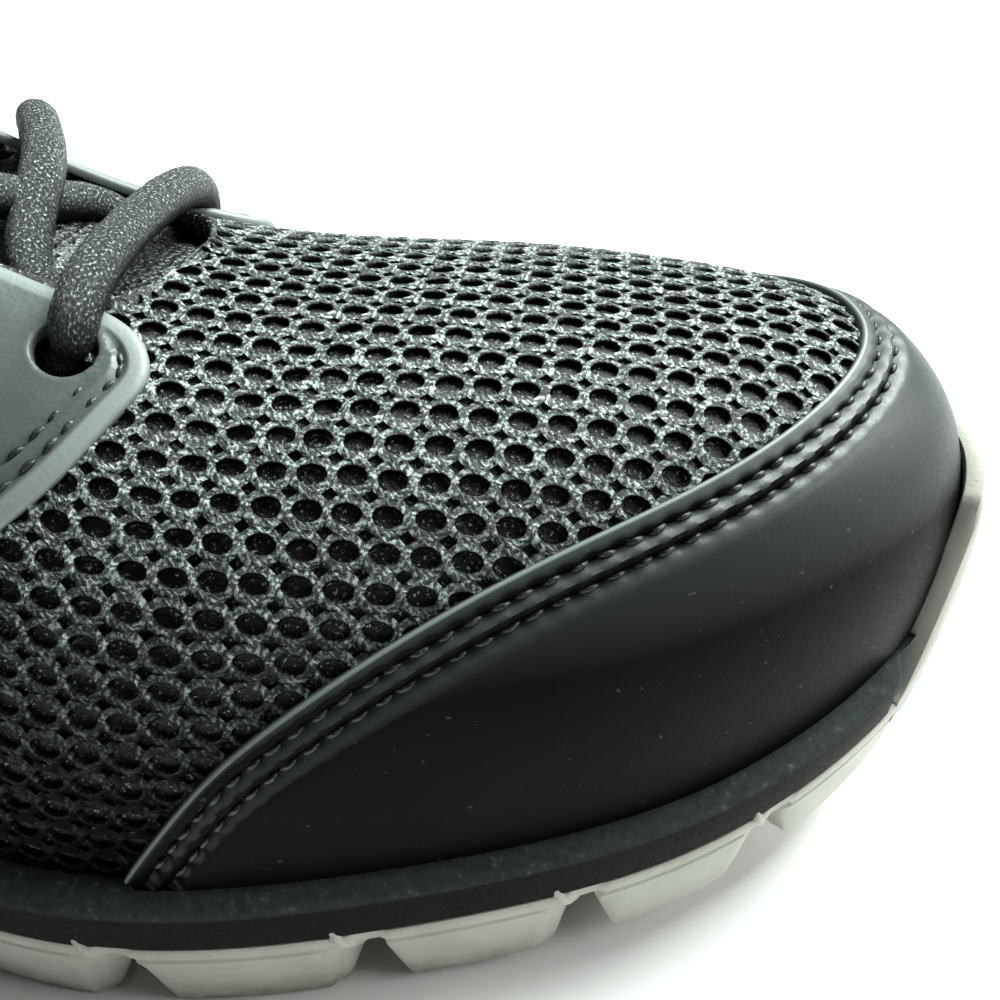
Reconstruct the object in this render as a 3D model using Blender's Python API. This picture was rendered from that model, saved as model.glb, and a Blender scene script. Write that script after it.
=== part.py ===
"""A right-foot safety sneaker, standing empty on its sole. Metres, +Z up, +X to the toe, -Y the outer side.

The upper, the toe guard, the eyestays and the tongue are all cut from one skin, the function skin():
a place on it is a turn (0 at the heel's back to pi at the toe's tip), a side and a rise (0 at the sole, 1 at the ridge).
"""

import math

import bmesh
import bpy
import numpy as np
from mathutils import Vector, geometry

# Driving sizes
LENGTH = 0.301
BALL_WIDTH = 0.110
INSTEP_HEIGHT = 0.113
COLLAR_HEIGHT = 0.104
FOREFOOT_SIDE = 0.0222
HEEL_SIDE = 0.0320
TOE_SPRING = 0.0120
HEEL_LIFT = 0.0040
ARCH_LIFT = 0.0030
WALL = 0.0026
COLLAR_PAD = 0.0040
FIT = 0.0003

# Sole
BAND_HEIGHT = 0.0080
BAND_BEVEL_DROP = 0.0010
BAND_BEVEL_DEPTH = 0.0026
SOLE_TAPER = 0.0015
SOLE_EDGE_ROUND = 0.0010
LUG_SKIN = 0.0045
GROOVE_FOOT = 0.0070
GROOVE_TOP = 0.0012
GROOVE_REACH = 0.068
CHANNEL_WIDTH = 0.0060
CHANNEL_DEPTH = 0.0045
CHANNEL_SPAN = (0.06, 0.90)
BUMPER_THICK = 0.0027
BUMPER_RISE = 0.19
BUMPER_FOOT_RISE = 0.02
BUMPER_ROOT = 0.0035
BUMPER_START = {"outer": 0.955, "inner": 0.930}
BUMPER_RAMP = 0.012
CUTTER_MARGIN = 0.0040
INSOLE_THICK = 0.0040
INSOLE_EDGE_GAP = 0.0014

# Upper
FEATHER_INSET = 0.0044
GUARD_THICK = 0.0011
EYESTAY_THICK = 0.0012
PANEL_FIT = 0.0005
THROAT_GAP_FRONT = 0.0300
THROAT_GAP_TOP = 0.0350
THROAT_FRONT = 0.1935
THROAT_ROUND = 0.0130
TONGUE_THICK = 0.0048
TONGUE_HALF_FRONT = 0.0220
TONGUE_HALF_TOP = 0.0290
TONGUE_TIP = 0.0800
TONGUE_FLATTEN = 0.0060
TONGUE_TIP_BACK = 0.0045
TONGUE_TUCK = 0.0060
RIM_SWELL = 0.35
GUARD_FOOT_LAP = 0.006

# Lacing
EYELET_ROWS = 5
EYELET_PITCH = 0.0222
EYELET_FRONT = 0.1868
EYELET_DIAMETER = 0.0050
EYELET_RISE = 0.727
EYELET_RISE_STEP = 0.003
LACE_DIAMETER = 0.0054
LACE_CLEAR = 0.0009
LACE_DIP = 0.0032
LACE_SIDES = 6
CORD_SPACING = 2.0
KNOT_AT = 0.311
KNOT_LIFT = 1.5
KNOT_RADIUS = 0.0068
KNOT_SWEEP = 290.0
KNOT_SPACING = 0.8

# Places along the length where the top of the last starts to close in over the heel and the toe
HEEL_POLE = 0.130
TOE_POLE = 0.867
POLE_SOFTNESS = 0.045

# Outline of the sole and middle line of the last: shares of LENGTH, then shares of half the ball width
OUTLINE = {
    "at": (0.0, 0.03, 0.08, 0.20, 0.35, 0.50, 0.62, 0.75, 0.87, 0.955, 1.0),
    "outer": (0.0, -0.44, -0.62, -0.74, -0.77, -0.90, -1.035, -0.93, -0.70, -0.37, 0.107),
    "inner": (0.0, 0.43, 0.61, 0.70, 0.695, 0.785, 0.925, 0.960, 0.850, 0.630, 0.107),
    "middle": (0.0, 0.0, 0.0, 0.0, 0.0, 0.01, 0.03, 0.06, 0.09, 0.105, 0.107),
}

# Ridge of the last over its length as shares of INSTEP_HEIGHT, and how round a section is (1 is an ellipse)
SECTIONS = {
    "at": (0.0, 0.12, 0.25, 0.33, 0.50, 0.57, 0.64, 0.70, 0.78, 0.87, 1.0),
    "ridge": (1.46, 1.42, 1.18, 1.0, 0.825, 0.738, 0.676, 0.662, 0.664, 0.658, 0.652),
    "round": (0.80, 0.85, 0.97, 1.02, 1.05, 1.0, 0.92, 0.86, 0.79, 0.74, 0.73),
}

# Top line of the collar over the length, as shares of COLLAR_HEIGHT
COLLAR = {
    "at": (0.0, 0.05, 0.12, 0.19, 0.25, 0.30, 0.34, 0.40),
    "height": (1.0, 0.985, 0.915, 0.835, 0.81, 0.86, 1.0, 1.35),
}

# Upper edge of the toe guard: shares of LENGTH and rise on the skin
GUARD_EDGE = {
    "at": (0.655, 0.672, 0.69, 0.72, 0.75, 0.80, 0.85, 0.90, 0.95, 1.0),
    "rise": (0.0, 0.080, 0.16, 0.255, 0.33, 0.435, 0.52, 0.60, 0.68, 0.755),
}

# Edge of an eyestay from its top corner round by the front to the back: shares of LENGTH and rise
EYESTAY_EDGE = {
    "at": (0.300, 0.40, 0.50, 0.58, 0.622, 0.642, 0.652, 0.6465, 0.632, 0.606, 0.582, 0.555, 0.530,
           0.45, 0.385, 0.355, 0.345, 0.335, 0.318, 0.300, 0.288, 0.290),
    "rise": (0.700, 0.775, 0.795, 0.808, 0.810, 0.785, 0.725, 0.660, 0.560, 0.440, 0.320, 0.180, 0.02,
             0.02, 0.02, 0.180, 0.320, 0.440, 0.520, 0.575, 0.620, 0.665),
}

# Triangular windows of an eyestay: three corners each, as shares of LENGTH and rise
WINDOWS = (
    ((0.574, 0.612), (0.606, 0.598), (0.586, 0.515)),
    ((0.544, 0.590), (0.500, 0.446), (0.558, 0.446)),
    ((0.468, 0.652), (0.520, 0.622), (0.490, 0.512)),
    ((0.440, 0.648), (0.392, 0.540), (0.458, 0.522)),
    ((0.372, 0.640), (0.424, 0.654), (0.386, 0.578)),
)
WINDOW_ROUND = 0.22

# A bow's loop and its end on one side: places on the skin from the knot outward, with lifts in lace diameters
LOOP_ROUTE = {
    "at": (0.321, 0.331, 0.349, 0.367, 0.374, 0.366, 0.338, 0.308, 0.293, 0.291, 0.294, 0.300),
    "rise": (0.945, 0.87, 0.73, 0.58, 0.47, 0.37, 0.325, 0.37, 0.48, 0.62, 0.78, 0.90),
    "lift": (1.65, 1.95, 2.10, 1.50, 1.10, 0.95, 0.95, 0.95, 1.00, 1.05, 1.20, 1.45),
}
END_ROUTE = {
    "at": (0.344, 0.360, 0.381, 0.396, 0.407, 0.413, 0.416),
    "rise": (0.950, 0.875, 0.760, 0.640, 0.530, 0.430, 0.340),
    "lift": (1.75, 2.05, 2.20, 1.70, 1.20, 0.98, 0.95),
}

# Grooves across the sole: where each meets the outer and the inner edge, as shares of LENGTH
GROOVES = {
    "outer": (0.105, 0.195, 0.285, 0.555, 0.655, 0.752, 0.838, 0.918),
    "inner": (0.105, 0.195, 0.285, 0.585, 0.682, 0.772, 0.850, 0.925),
}


def smooth_curve(ats, values):
    """A natural cubic spline through the given points, as a function of an array."""
    x, y = np.asarray(ats, float), np.asarray(values, float)
    h = np.diff(x)
    n = len(x)
    matrix, right = np.eye(n), np.zeros(n)
    for i in range(1, n - 1):
        matrix[i, i - 1 : i + 2] = h[i - 1], 2 * (h[i - 1] + h[i]), h[i]
        right[i] = 6 * ((y[i + 1] - y[i]) / h[i] - (y[i] - y[i - 1]) / h[i - 1])
    bend = np.linalg.solve(matrix, right)

    def value(at):
        at = np.clip(at, x[0], x[-1])
        i = np.clip(np.searchsorted(x, at, side="right") - 1, 0, n - 2)
        b = (at - x[i]) / h[i]
        a = 1 - b
        return a * y[i] + b * y[i + 1] + ((a**3 - a) * bend[i] + (b**3 - b) * bend[i + 1]) * h[i] ** 2 / 6

    return value


def turn_at(share):
    """The turn round the shoe at a share of its length."""
    return np.arccos(1 - 2 * np.asarray(share, float))


def smooth_step(t):
    t = np.clip(t, 0, 1)
    return t * t * (3 - 2 * t)


outer_width = smooth_curve(turn_at(OUTLINE["at"]), OUTLINE["outer"])
inner_width = smooth_curve(turn_at(OUTLINE["at"]), OUTLINE["inner"])
middle_line = smooth_curve(OUTLINE["at"], OUTLINE["middle"])
ridge_share = smooth_curve(SECTIONS["at"], SECTIONS["ridge"])
roundness = smooth_curve(SECTIONS["at"], SECTIONS["round"])
collar_share = smooth_curve(COLLAR["at"], COLLAR["height"])
guard_rise = smooth_curve(GUARD_EDGE["at"], GUARD_EDGE["rise"])


def outline(turn, side, inset=0.0):
    """Points of the sole's outline, moved in by inset. side is -1 outer or 1 inner."""

    def raw(t):
        s = np.where((t < 0) | (t > math.pi), -side, side)
        t = np.where(t < 0, -t, np.where(t > math.pi, 2 * math.pi - t, t))
        y = np.where(s < 0, outer_width(t), inner_width(t)) * BALL_WIDTH / 2
        return np.stack([LENGTH * (1 - np.cos(t)) / 2, y], -1)

    turn, side = np.broadcast_arrays(np.asarray(turn, float), side)
    along = raw(turn + 1e-3) - raw(turn - 1e-3)
    out = np.stack([-along[..., 1], along[..., 0]], -1) * side[..., None]
    out /= np.linalg.norm(out, axis=-1, keepdims=True)
    return raw(turn) - out * np.asarray(inset)[..., None]


def spring(x):
    return TOE_SPRING * np.clip((x / LENGTH - 0.68) / 0.32, 0, None) ** 2


def sole_top(x):
    """Height of the sole's top face."""
    heel = smooth_step((0.55 - x / LENGTH) / 0.33)
    return FOREFOOT_SIDE + (HEEL_SIDE - FOREFOOT_SIDE) * heel + spring(x)


def sole_bottom(x):
    share = x / LENGTH
    heel = HEEL_LIFT * np.clip((0.09 - share) / 0.09, 0, 1) ** 2
    arch = ARCH_LIFT * smooth_step((share - 0.30) / 0.08) * smooth_step((0.54 - share) / 0.08)
    return spring(x) + heel + arch


def band_bottom(x):
    """Height of the face where the dark upper layer of the sole sits on the light lower one."""
    return sole_top(x) - BAND_HEIGHT * (1 + 0.4 * smooth_step((0.5 - x / LENGTH) / 0.3))


def spine(turn):
    """The middle line of the last that the sections close on, drawn short of the heel and the toe."""
    share = (1 - np.cos(turn)) / 2
    share = TOE_POLE - POLE_SOFTNESS * np.log1p(np.exp((TOE_POLE - share) / POLE_SOFTNESS))
    share = HEEL_POLE + POLE_SOFTNESS * np.log1p(np.exp((share - HEEL_POLE) / POLE_SOFTNESS))
    return np.stack([share * LENGTH, middle_line(share) * BALL_WIDTH / 2], -1), share


def base_skin(turn, side, rise):
    """The last's surface."""
    side = np.where((turn < 0) | (turn > math.pi), -side, side)
    turn = np.where(turn < 0, -turn, np.where(turn > math.pi, 2 * math.pi - turn, turn))
    foot = outline(turn, side, FEATHER_INSET)
    middle, share = spine(turn)
    power = roundness(share)
    angle = np.clip(rise, 0, 1) * math.pi / 2
    reach = np.maximum(np.cos(angle), 1e-9) ** power
    climb = np.sin(angle) ** power
    foot_z = sole_top(foot[..., 0])
    plan = middle + (foot - middle) * reach[..., None]
    z = foot_z + (ridge_share(share) * INSTEP_HEIGHT - foot_z) * climb
    return np.concatenate([plan, z[..., None]], -1)


def skin_normal(turn, side, rise):
    low = np.clip(rise, 0.012, 0.985)
    step = 1e-3
    along = base_skin(turn + step, side, low) - base_skin(turn - step, side, low)
    up = base_skin(turn, side, low + step) - base_skin(turn, side, low - step)
    out = np.cross(along, up) * -np.asarray(side)[..., None]
    return out / np.linalg.norm(out, axis=-1, keepdims=True)


def skin(turn, side, rise, lift):
    """Points at a lift off the last: 0 is the upper's own face, less than 0 inside it."""
    turn, side, rise, lift = np.broadcast_arrays(
        np.asarray(turn, float), np.asarray(side, float), np.asarray(rise, float), np.asarray(lift, float)
    )
    out = skin_normal(turn, side, rise)
    other = skin_normal(turn, -side, rise)
    share = smooth_step((rise - 0.97) / 0.03)[..., None] / 2
    out = out * (1 - share) + other * share
    out[..., 2] *= smooth_step(rise / 0.03)
    out /= np.linalg.norm(out, axis=-1, keepdims=True)
    return base_skin(turn, side, rise) + out * lift[..., None]


def opening_rise(turn, side):
    """The rise at which the upper ends: the throat's edge in front, the collar behind, 1 where it closes."""
    share = (1 - np.cos(turn)) / 2
    foot = outline(turn, side, FEATHER_INSET)
    middle, spine_share = spine(turn)
    power = roundness(spine_share)
    x = share * LENGTH
    back = np.clip((THROAT_FRONT - x) / (THROAT_FRONT - TONGUE_TIP), 0, 1)
    half = (THROAT_GAP_FRONT + (THROAT_GAP_TOP - THROAT_GAP_FRONT) * back) / 2
    nose = np.clip((x - (THROAT_FRONT - THROAT_ROUND)) / THROAT_ROUND, 0, 1)
    half = half * (1 - nose**3) ** (1 / 3)
    reach = np.clip(half / np.abs(foot[..., 1] - middle[..., 1]), 0, 1)
    throat = np.arccos(reach ** (1 / power)) / (math.pi / 2)
    foot_z = sole_top(foot[..., 0])
    top = ridge_share(spine_share) * INSTEP_HEIGHT - foot_z
    climb = np.clip((collar_share(share) * COLLAR_HEIGHT - foot_z) / top, 0, 1)
    collar = np.arcsin(climb ** (1 / power)) / (math.pi / 2)
    collar = np.where(share > 0.38, 1.5, collar)
    throat = np.where(share < 0.2, 1.5, throat)
    corner = 14
    both = (np.maximum(throat, 0.3) ** -corner + collar**-corner) ** (-1 / corner)
    return np.where(x >= THROAT_FRONT - 1e-6, 1.0, np.where(share > 0.38, throat, both))


def place_across(share, offset):
    """Turn, side and rise of the skin's places at signed distances from its middle line, outer side negative."""
    share, offset = np.broadcast_arrays(np.asarray(share, float), np.asarray(offset, float))
    turn = turn_at(share)
    side = np.where(offset < 0, -1.0, 1.0)
    foot = outline(turn, side, FEATHER_INSET)
    middle, spine_share = spine(turn)
    reach = np.clip(np.abs(offset) / np.abs(foot[..., 1] - middle[..., 1]), 0, 1)
    return turn, side, np.arccos(reach ** (1 / roundness(spine_share))) / (math.pi / 2)


CENTRE = np.array([LENGTH / 2, BALL_WIDTH / 4 * (max(OUTLINE["inner"]) + min(OUTLINE["outer"])), 0.0])


def material(name, colour, roughness_value, metallic=0.0):
    made = bpy.data.materials.new(name)
    made.use_nodes = True
    shader = made.node_tree.nodes["Principled BSDF"]
    linear = [c / 12.92 if c <= 0.04045 else ((c + 0.055) / 1.055) ** 2.4 for c in colour]
    shader.inputs["Base Color"].default_value = (*linear, 1)
    shader.inputs["Roughness"].default_value = roughness_value
    shader.inputs["Metallic"].default_value = metallic
    made.diffuse_color = (*linear, 1)
    return made


def add_object(name, mesh, look, helper=False):
    made = bpy.data.objects.new(name, mesh)
    bpy.context.scene.collection.objects.link(made)
    if look:
        mesh.materials.append(look)
    if helper:
        made.hide_render = True
        made.display_type = "WIRE"
    return made


def closed_mesh(name, points, faces, merge=2e-6):
    """A mesh of the given faces, with points in the same place made one and its normals outward."""
    mesh = bpy.data.meshes.new(name)
    shape = bmesh.new()
    made = [shape.verts.new(Vector(p - CENTRE)) for p in points]
    for face in faces:
        shape.faces.new([made[i] for i in face])
    bmesh.ops.remove_doubles(shape, verts=shape.verts, dist=merge)
    bmesh.ops.dissolve_degenerate(shape, dist=1e-7, edges=shape.edges)
    bmesh.ops.recalc_face_normals(shape, faces=shape.faces)
    if shape.calc_volume(signed=True) < 0:
        bmesh.ops.reverse_faces(shape, faces=shape.faces)
    shape.to_mesh(mesh)
    shape.free()
    mesh.shade_smooth()
    mesh.set_sharp_from_angle(angle=math.radians(35))
    return mesh


def loft(name, columns, closed=True, skip=()):
    """Joins columns of points, each a closed loop, to their neighbours; skip holds (column, row) cells left open."""
    count, rows = columns.shape[:2]
    faces = []
    for i in range(count if closed else count - 1):
        j = (i + 1) % count
        for k in range(rows):
            m = (k + 1) % rows
            if (i, k) not in skip:
                faces.append((i * rows + k, j * rows + k, j * rows + m, i * rows + m))
    if not closed:
        faces.append(tuple(range(rows)))
        faces.append(tuple((count - 1) * rows + k for k in range(rows)))
    return closed_mesh(name, columns.reshape(-1, 3), faces)


def round_the_shoe(turns):
    """Turns and sides of the columns once round: heel, outer side, toe and back along the inner side."""
    turn = np.concatenate([turns, turns[-2:0:-1]])
    side = np.concatenate([np.full(len(turns), -1.0), np.full(len(turns) - 2, 1.0)])
    return turn, side


def spaced_turns(marks):
    """Turns between the given (share of length, steps to the next) marks."""
    turns = [0.0]
    for (start, steps), (end, _) in zip(marks, marks[1:]):
        a, b = turn_at(start), turn_at(end)
        turns += [float(a + (b - a) * (i + 1) / steps) for i in range(steps)]
    return np.array(turns)


SOLE_TURNS = spaced_turns(((0.0, 5), (0.12, 6), (0.5, 7), (0.86, 4), (0.93, 6), (1.0, 0)))


def toe_span(turn, side):
    """1 where the toe bumper stands, 0 elsewhere, with short ramps at its ends."""
    share = (1 - np.cos(turn)) / 2
    start = np.where(side < 0, BUMPER_START["outer"], BUMPER_START["inner"])
    return smooth_step((share - start) / BUMPER_RAMP)


def sole_slab(name, turns, rows, top_z, bottom_z):
    """A slab on the sole's outline: rows are (inset, height) from the top edge down, and both faces follow x alone."""
    turn, side = round_the_shoe(turns)
    middle, _ = spine(turn)
    columns = []
    caps = (0.0, 0.5)
    for rho in caps:
        edge = outline(turn, side, rows[0][0](turn, side))
        plan = middle + (edge - middle) * rho
        columns.append(np.column_stack([plan, top_z(plan[:, 0])]))
    for inset, height in rows:
        edge = outline(turn, side, inset(turn, side))
        columns.append(np.column_stack([edge, height(edge[:, 0])]))
    for rho in caps[::-1]:
        edge = outline(turn, side, rows[-1][0](turn, side))
        plan = middle + (edge - middle) * rho
        columns.append(np.column_stack([plan, bottom_z(plan[:, 0])]))
    grid = np.stack(columns, 1)
    last = grid.shape[1] - 1
    return loft(name, grid, skip={(i, last) for i in range(len(turn))})


def boolean(target, cutter, operation):
    step = target.modifiers.new(cutter.name, "BOOLEAN")
    step.operation = operation
    step.solver = "EXACT"
    step.object = cutter
    return step


def prism(name, first, second):
    """A closed helper prism between two like polygons, given as two lists of points."""
    count = len(first)
    faces = [tuple(range(count)), tuple(range(2 * count - 1, count - 1, -1))]
    faces += [(i, (i + 1) % count, count + (i + 1) % count, count + i) for i in range(count)]
    return add_object(name, closed_mesh(name, np.array(first + second), faces), None, helper=True)


def make_outsole(look):
    """The light lower layer: a slab with a bumper at the toe, cut into lugs by its grooves."""

    def top(x):
        return band_bottom(x) - FIT

    def round_start(x):
        return sole_bottom(x) + SOLE_EDGE_ROUND * 2

    rows = (
        (lambda t, s: np.zeros_like(t), top),
        (lambda t, s: np.full_like(t, SOLE_TAPER), round_start),
        (lambda t, s: np.full_like(t, SOLE_TAPER + SOLE_EDGE_ROUND), sole_bottom),
    )
    outsole = add_object("outsole", sole_slab("outsole", SOLE_TURNS, rows, top, sole_bottom), look)
    boolean(outsole, make_bumper(), "UNION")
    for number, (outer, inner) in enumerate(zip(GROOVES["outer"], GROOVES["inner"])):
        boolean(outsole, make_groove(number, outer, inner), "DIFFERENCE")
    boolean(outsole, make_channel(), "DIFFERENCE")
    return outsole


def make_groove(number, outer, inner):
    """A wedge across the sole, wide at the floor and narrow at its top."""
    ends = []
    for share, side in ((outer, -1.0), (inner, 1.0)):
        x = share * LENGTH
        y = side * GROOVE_REACH
        top = band_bottom(x) - LUG_SKIN
        low = -CUTTER_MARGIN
        ends.append(
            [
                np.array([x - GROOVE_FOOT / 2, y, low]),
                np.array([x + GROOVE_FOOT / 2, y, low]),
                np.array([x + GROOVE_FOOT / 2, y, sole_bottom(x)]),
                np.array([x + GROOVE_TOP / 2, y, top]),
                np.array([x - GROOVE_TOP / 2, y, top]),
                np.array([x - GROOVE_FOOT / 2, y, sole_bottom(x)]),
            ]
        )
    return prism(f"groove_cutter_{number}", ends[0], ends[1])


def make_channel():
    """The slot along the middle of the sole's underside."""
    ends = []
    for share in CHANNEL_SPAN:
        x = share * LENGTH
        y = float(middle_line(share)) * BALL_WIDTH / 2
        low_half, top_half = CHANNEL_WIDTH / 2, CHANNEL_WIDTH / 3
        top = sole_bottom(x) + CHANNEL_DEPTH
        ends.append(
            [
                np.array([x, y - low_half, -CUTTER_MARGIN]),
                np.array([x, y + low_half, -CUTTER_MARGIN]),
                np.array([x, y + top_half, top]),
                np.array([x, y - top_half, top]),
            ]
        )
    return prism("channel_cutter", ends[0], ends[1])


def make_bumper():
    """The lip of the outsole that turns up over the tip of the toe."""
    outer = np.linspace(turn_at(BUMPER_START["outer"] + BUMPER_RAMP * 1.5), math.pi, 6)
    inner = np.linspace(math.pi, turn_at(BUMPER_START["inner"] + BUMPER_RAMP * 1.5), 7)[1:]
    turn = np.concatenate([outer, inner])
    side = np.concatenate([np.full(len(outer), -1.0), np.full(len(inner), 1.0)])
    along = np.linspace(0, 1, len(turn))
    height = np.clip(np.sin(np.pi * along), 0, 1) ** 0.5
    rise = BUMPER_FOOT_RISE + (BUMPER_RISE - BUMPER_FOOT_RISE) * height
    lift_out = FEATHER_INSET
    lift_in = FEATHER_INSET - BUMPER_THICK
    outside, inside = [], []
    for drop in (-BUMPER_ROOT, 0.0, BAND_HEIGHT * 0.6):
        for found, inset in ((outside, 0.0), (inside, BUMPER_THICK)):
            edge = outline(turn, side, inset)
            found.append(np.column_stack([edge, band_bottom(edge[:, 0]) + drop]))
    for share in (0.0, 0.5, 0.92):
        outside.append(skin(turn, side, rise * share, lift_out))
        inside.append(skin(turn, side, rise * share, lift_in))
    tip = skin(turn, side, rise, (lift_out + lift_in) / 2)
    grid = np.stack(outside + [tip] + inside[::-1], 1)
    return add_object("bumper_form", loft("bumper_form", grid, closed=False), None, helper=True)


def make_midsole(look):
    def face(t, s):
        return toe_span(t, s) * (BUMPER_THICK + 2 * FIT)

    def rim(t, s):
        return BAND_BEVEL_DEPTH + toe_span(t, s) * (BUMPER_THICK + 2 * FIT - BAND_BEVEL_DEPTH)

    rows = (
        (rim, sole_top),
        (face, lambda x: sole_top(x) - BAND_BEVEL_DROP),
        (face, band_bottom),
    )
    return add_object("midsole", sole_slab("midsole", SOLE_TURNS, rows, sole_top, band_bottom), look)


def make_insole(look):
    inset = FEATHER_INSET + WALL + INSOLE_EDGE_GAP

    def low(x):
        return sole_top(x) + FIT

    def high(x):
        return low(x) + INSOLE_THICK

    rows = ((lambda t, s: np.full_like(t, inset), high), (lambda t, s: np.full_like(t, inset), low))
    turns = spaced_turns(((0.0, 4), (0.12, 5), (0.5, 5), (0.86, 4), (1.0, 0)))
    return add_object("insole", sole_slab("insole", turns, rows, high, low), look)


def collar_padding(share):
    """1 round the padded collar, 0 in front of it."""
    return smooth_step((0.40 - share) / 0.10)


def make_upper(look):
    """The hollow upper: open under the foot, at the throat and at the collar."""
    marks = ((0.0, 6), (0.13, 8), (0.38, 6), (0.56, 3), (0.605, 4), (THROAT_FRONT / LENGTH, 7))
    turns = spaced_turns((*marks, (0.87, 3), (0.94, 4), (1.0, 0)))
    turn, side = round_the_shoe(turns)
    top = opening_rise(turn, side)
    steps = 10
    share = np.linspace(0, 1, steps + 1)
    rise = top[:, None] * share[None, :]
    wide = (turn[:, None], side[:, None])
    outer = skin(*wide, rise, 0.0)
    length_share = (1 - np.cos(turn)) / 2
    padded = collar_padding(length_share)[:, None] * smooth_step((share - 0.35) / 0.35)[None, :]
    thick = WALL + COLLAR_PAD * padded
    inner = skin(*wide, rise, -thick)
    outer[:, 0, 2] += FIT
    inner[:, 0, 2] = outer[:, 0, 2]
    up = outer[:, -1] - outer[:, -2]
    up /= np.linalg.norm(up, axis=-1, keepdims=True)
    shut = top >= 1
    for c in np.flatnonzero(shut):
        twin = np.flatnonzero((np.abs(turn - turn[c]) < 1e-9))
        outer[twin, -1] = outer[twin, -1].mean(axis=0)
        inner[twin, -1] = inner[twin, -1].mean(axis=0)
    swell = np.where(shut, 0.0, 1.0)[:, None]
    rim = []
    for a in (0.2, 0.8):
        point = outer[:, -1] * (1 - a) + inner[:, -1] * a
        rim.append(point + up * swell * thick[:, -1:] * RIM_SWELL)
    grid = np.concatenate([outer, np.stack(rim, 1), inner[:, ::-1]], 1)
    count = len(turn)
    skip = {
        (i, steps + k)
        for i in range(count)
        for k in range(len(rim) + 1)
        if shut[i] and shut[(i + 1) % count]
    }
    return add_object("upper", loft("upper", grid, skip=skip), look)


def make_toe_guard(look):
    """The smooth guard round the toe, from the sole up to its curved top edge."""
    start = turn_at(GUARD_EDGE["at"][0] + GUARD_FOOT_LAP)
    outer = np.concatenate([np.linspace(start, turn_at(0.90), 11), np.linspace(turn_at(0.90), math.pi, 8)[1:]])
    turn = np.concatenate([outer, outer[-2::-1]])
    side = np.concatenate([np.full(len(outer), -1.0), np.full(len(outer) - 1, 1.0)])
    edge = guard_rise((1 - np.cos(turn)) / 2)
    share = np.linspace(0, 1, 7)
    rise = edge[:, None] * share[None, :]
    low = skin(turn[:, None], side[:, None], rise, FIT)
    high = skin(turn[:, None], side[:, None], rise, FIT + GUARD_THICK)
    for face in (low, high):
        face[:, 0, 2] += FIT
    grid = np.concatenate([high, low[:, ::-1]], 1)
    return add_object("toe_guard", loft("toe_guard", grid, closed=False), look)


def rounded(corners, share, steps=2):
    """The polygon with each corner cut back by a share of its sides and drawn round."""
    found = []
    count = len(corners)
    for i in range(count):
        before, here, after = (np.array(corners[(i + k) % count], float) for k in (-1, 0, 1))
        a, b = here + (before - here) * share, here + (after - here) * share
        for k in range(steps + 1):
            t = k / steps
            found.append(a * (1 - t) ** 2 + here * 2 * t * (1 - t) + b * t * t)
    return found


def eyelet_places():
    """Turn and rise of each eyelet's centre, front row first."""
    for row in range(EYELET_ROWS):
        share = (EYELET_FRONT - row * EYELET_PITCH) / LENGTH
        yield float(turn_at(share)), EYELET_RISE - EYELET_RISE_STEP * row


def inside_loop(point, loop):
    x, y = point
    found = False
    for i in range(len(loop)):
        (x0, y0), (x1, y1) = loop[i - 1], loop[i]
        if (y0 > y) != (y1 > y) and x < (x1 - x0) * (y - y0) / (y1 - y0) + x0:
            found = not found
    return found


def make_eyestay(name, side, look):
    """A flat-cut panel laid on the skin, with its windows. Its chart is length share by rise."""
    edge = list(zip(EYESTAY_EDGE["at"], EYESTAY_EDGE["rise"]))
    loops = [[np.array(p) for p in edge]] + [rounded(w, WINDOW_ROUND) for w in WINDOWS]
    points, edges = [], []
    for loop in loops:
        start = len(points)
        points += [Vector(p) for p in loop]
        edges += [(start + i, start + (i + 1) % len(loop)) for i in range(len(loop))]
    for share in np.arange(0.30, 0.66, 0.024):
        for rise in np.arange(0.07, 0.84, 0.06):
            spot = (float(share), float(rise))
            if all(np.hypot((p[0] - spot[0]) * 2.2, p[1] - spot[1]) > 0.022 for p in points):
                if inside_loop(spot, loops[0]) and not any(inside_loop(spot, w) for w in loops[1:]):
                    points.append(Vector(spot))
    flat, _, triangles, _, _, _ = geometry.delaunay_2d_cdt(points, edges, [], 0, 1e-7)
    kept = []
    for face in triangles:
        middle = sum((flat[i] for i in face), Vector((0, 0))) / 3
        if inside_loop(middle, loops[0]) and not any(inside_loop(middle, w) for w in loops[1:]):
            kept.append(tuple(face))
    chart = np.array([tuple(p) for p in flat])
    turn = turn_at(chart[:, 0])
    low = skin(turn, side, chart[:, 1], PANEL_FIT)
    high = skin(turn, side, chart[:, 1], PANEL_FIT + EYESTAY_THICK)
    count = len(chart)
    directed = {(a, b) for f in kept for a, b in zip(f, f[1:] + f[:1])}
    faces = [tuple(f) for f in kept] + [tuple(i + count for i in reversed(f)) for f in kept]
    faces += [(b, a, a + count, b + count) for a, b in directed if (b, a) not in directed]
    return add_object(name, closed_mesh(name, np.concatenate([high, low]), faces), look)


def eyelet_cutter(name, side, turn, rise):
    """A round punch square to the skin at an eyelet."""
    point = skin(turn, side, rise, 0.0)
    out = Vector(skin(turn, side, rise, 0.001) - point).normalized()
    across = out.orthogonal().normalized()
    other = out.cross(across)
    rings = []
    for lift in (-0.008, 0.004):
        centre = Vector(point) + out * lift
        ring = []
        for k in range(10):
            angle = 2 * math.pi * k / 10
            spoke = (across * math.cos(angle) + other * math.sin(angle)) * EYELET_DIAMETER / 2
            ring.append(np.array(centre + spoke))
        rings.append(ring)
    return prism(name, rings[0], rings[1])


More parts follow.
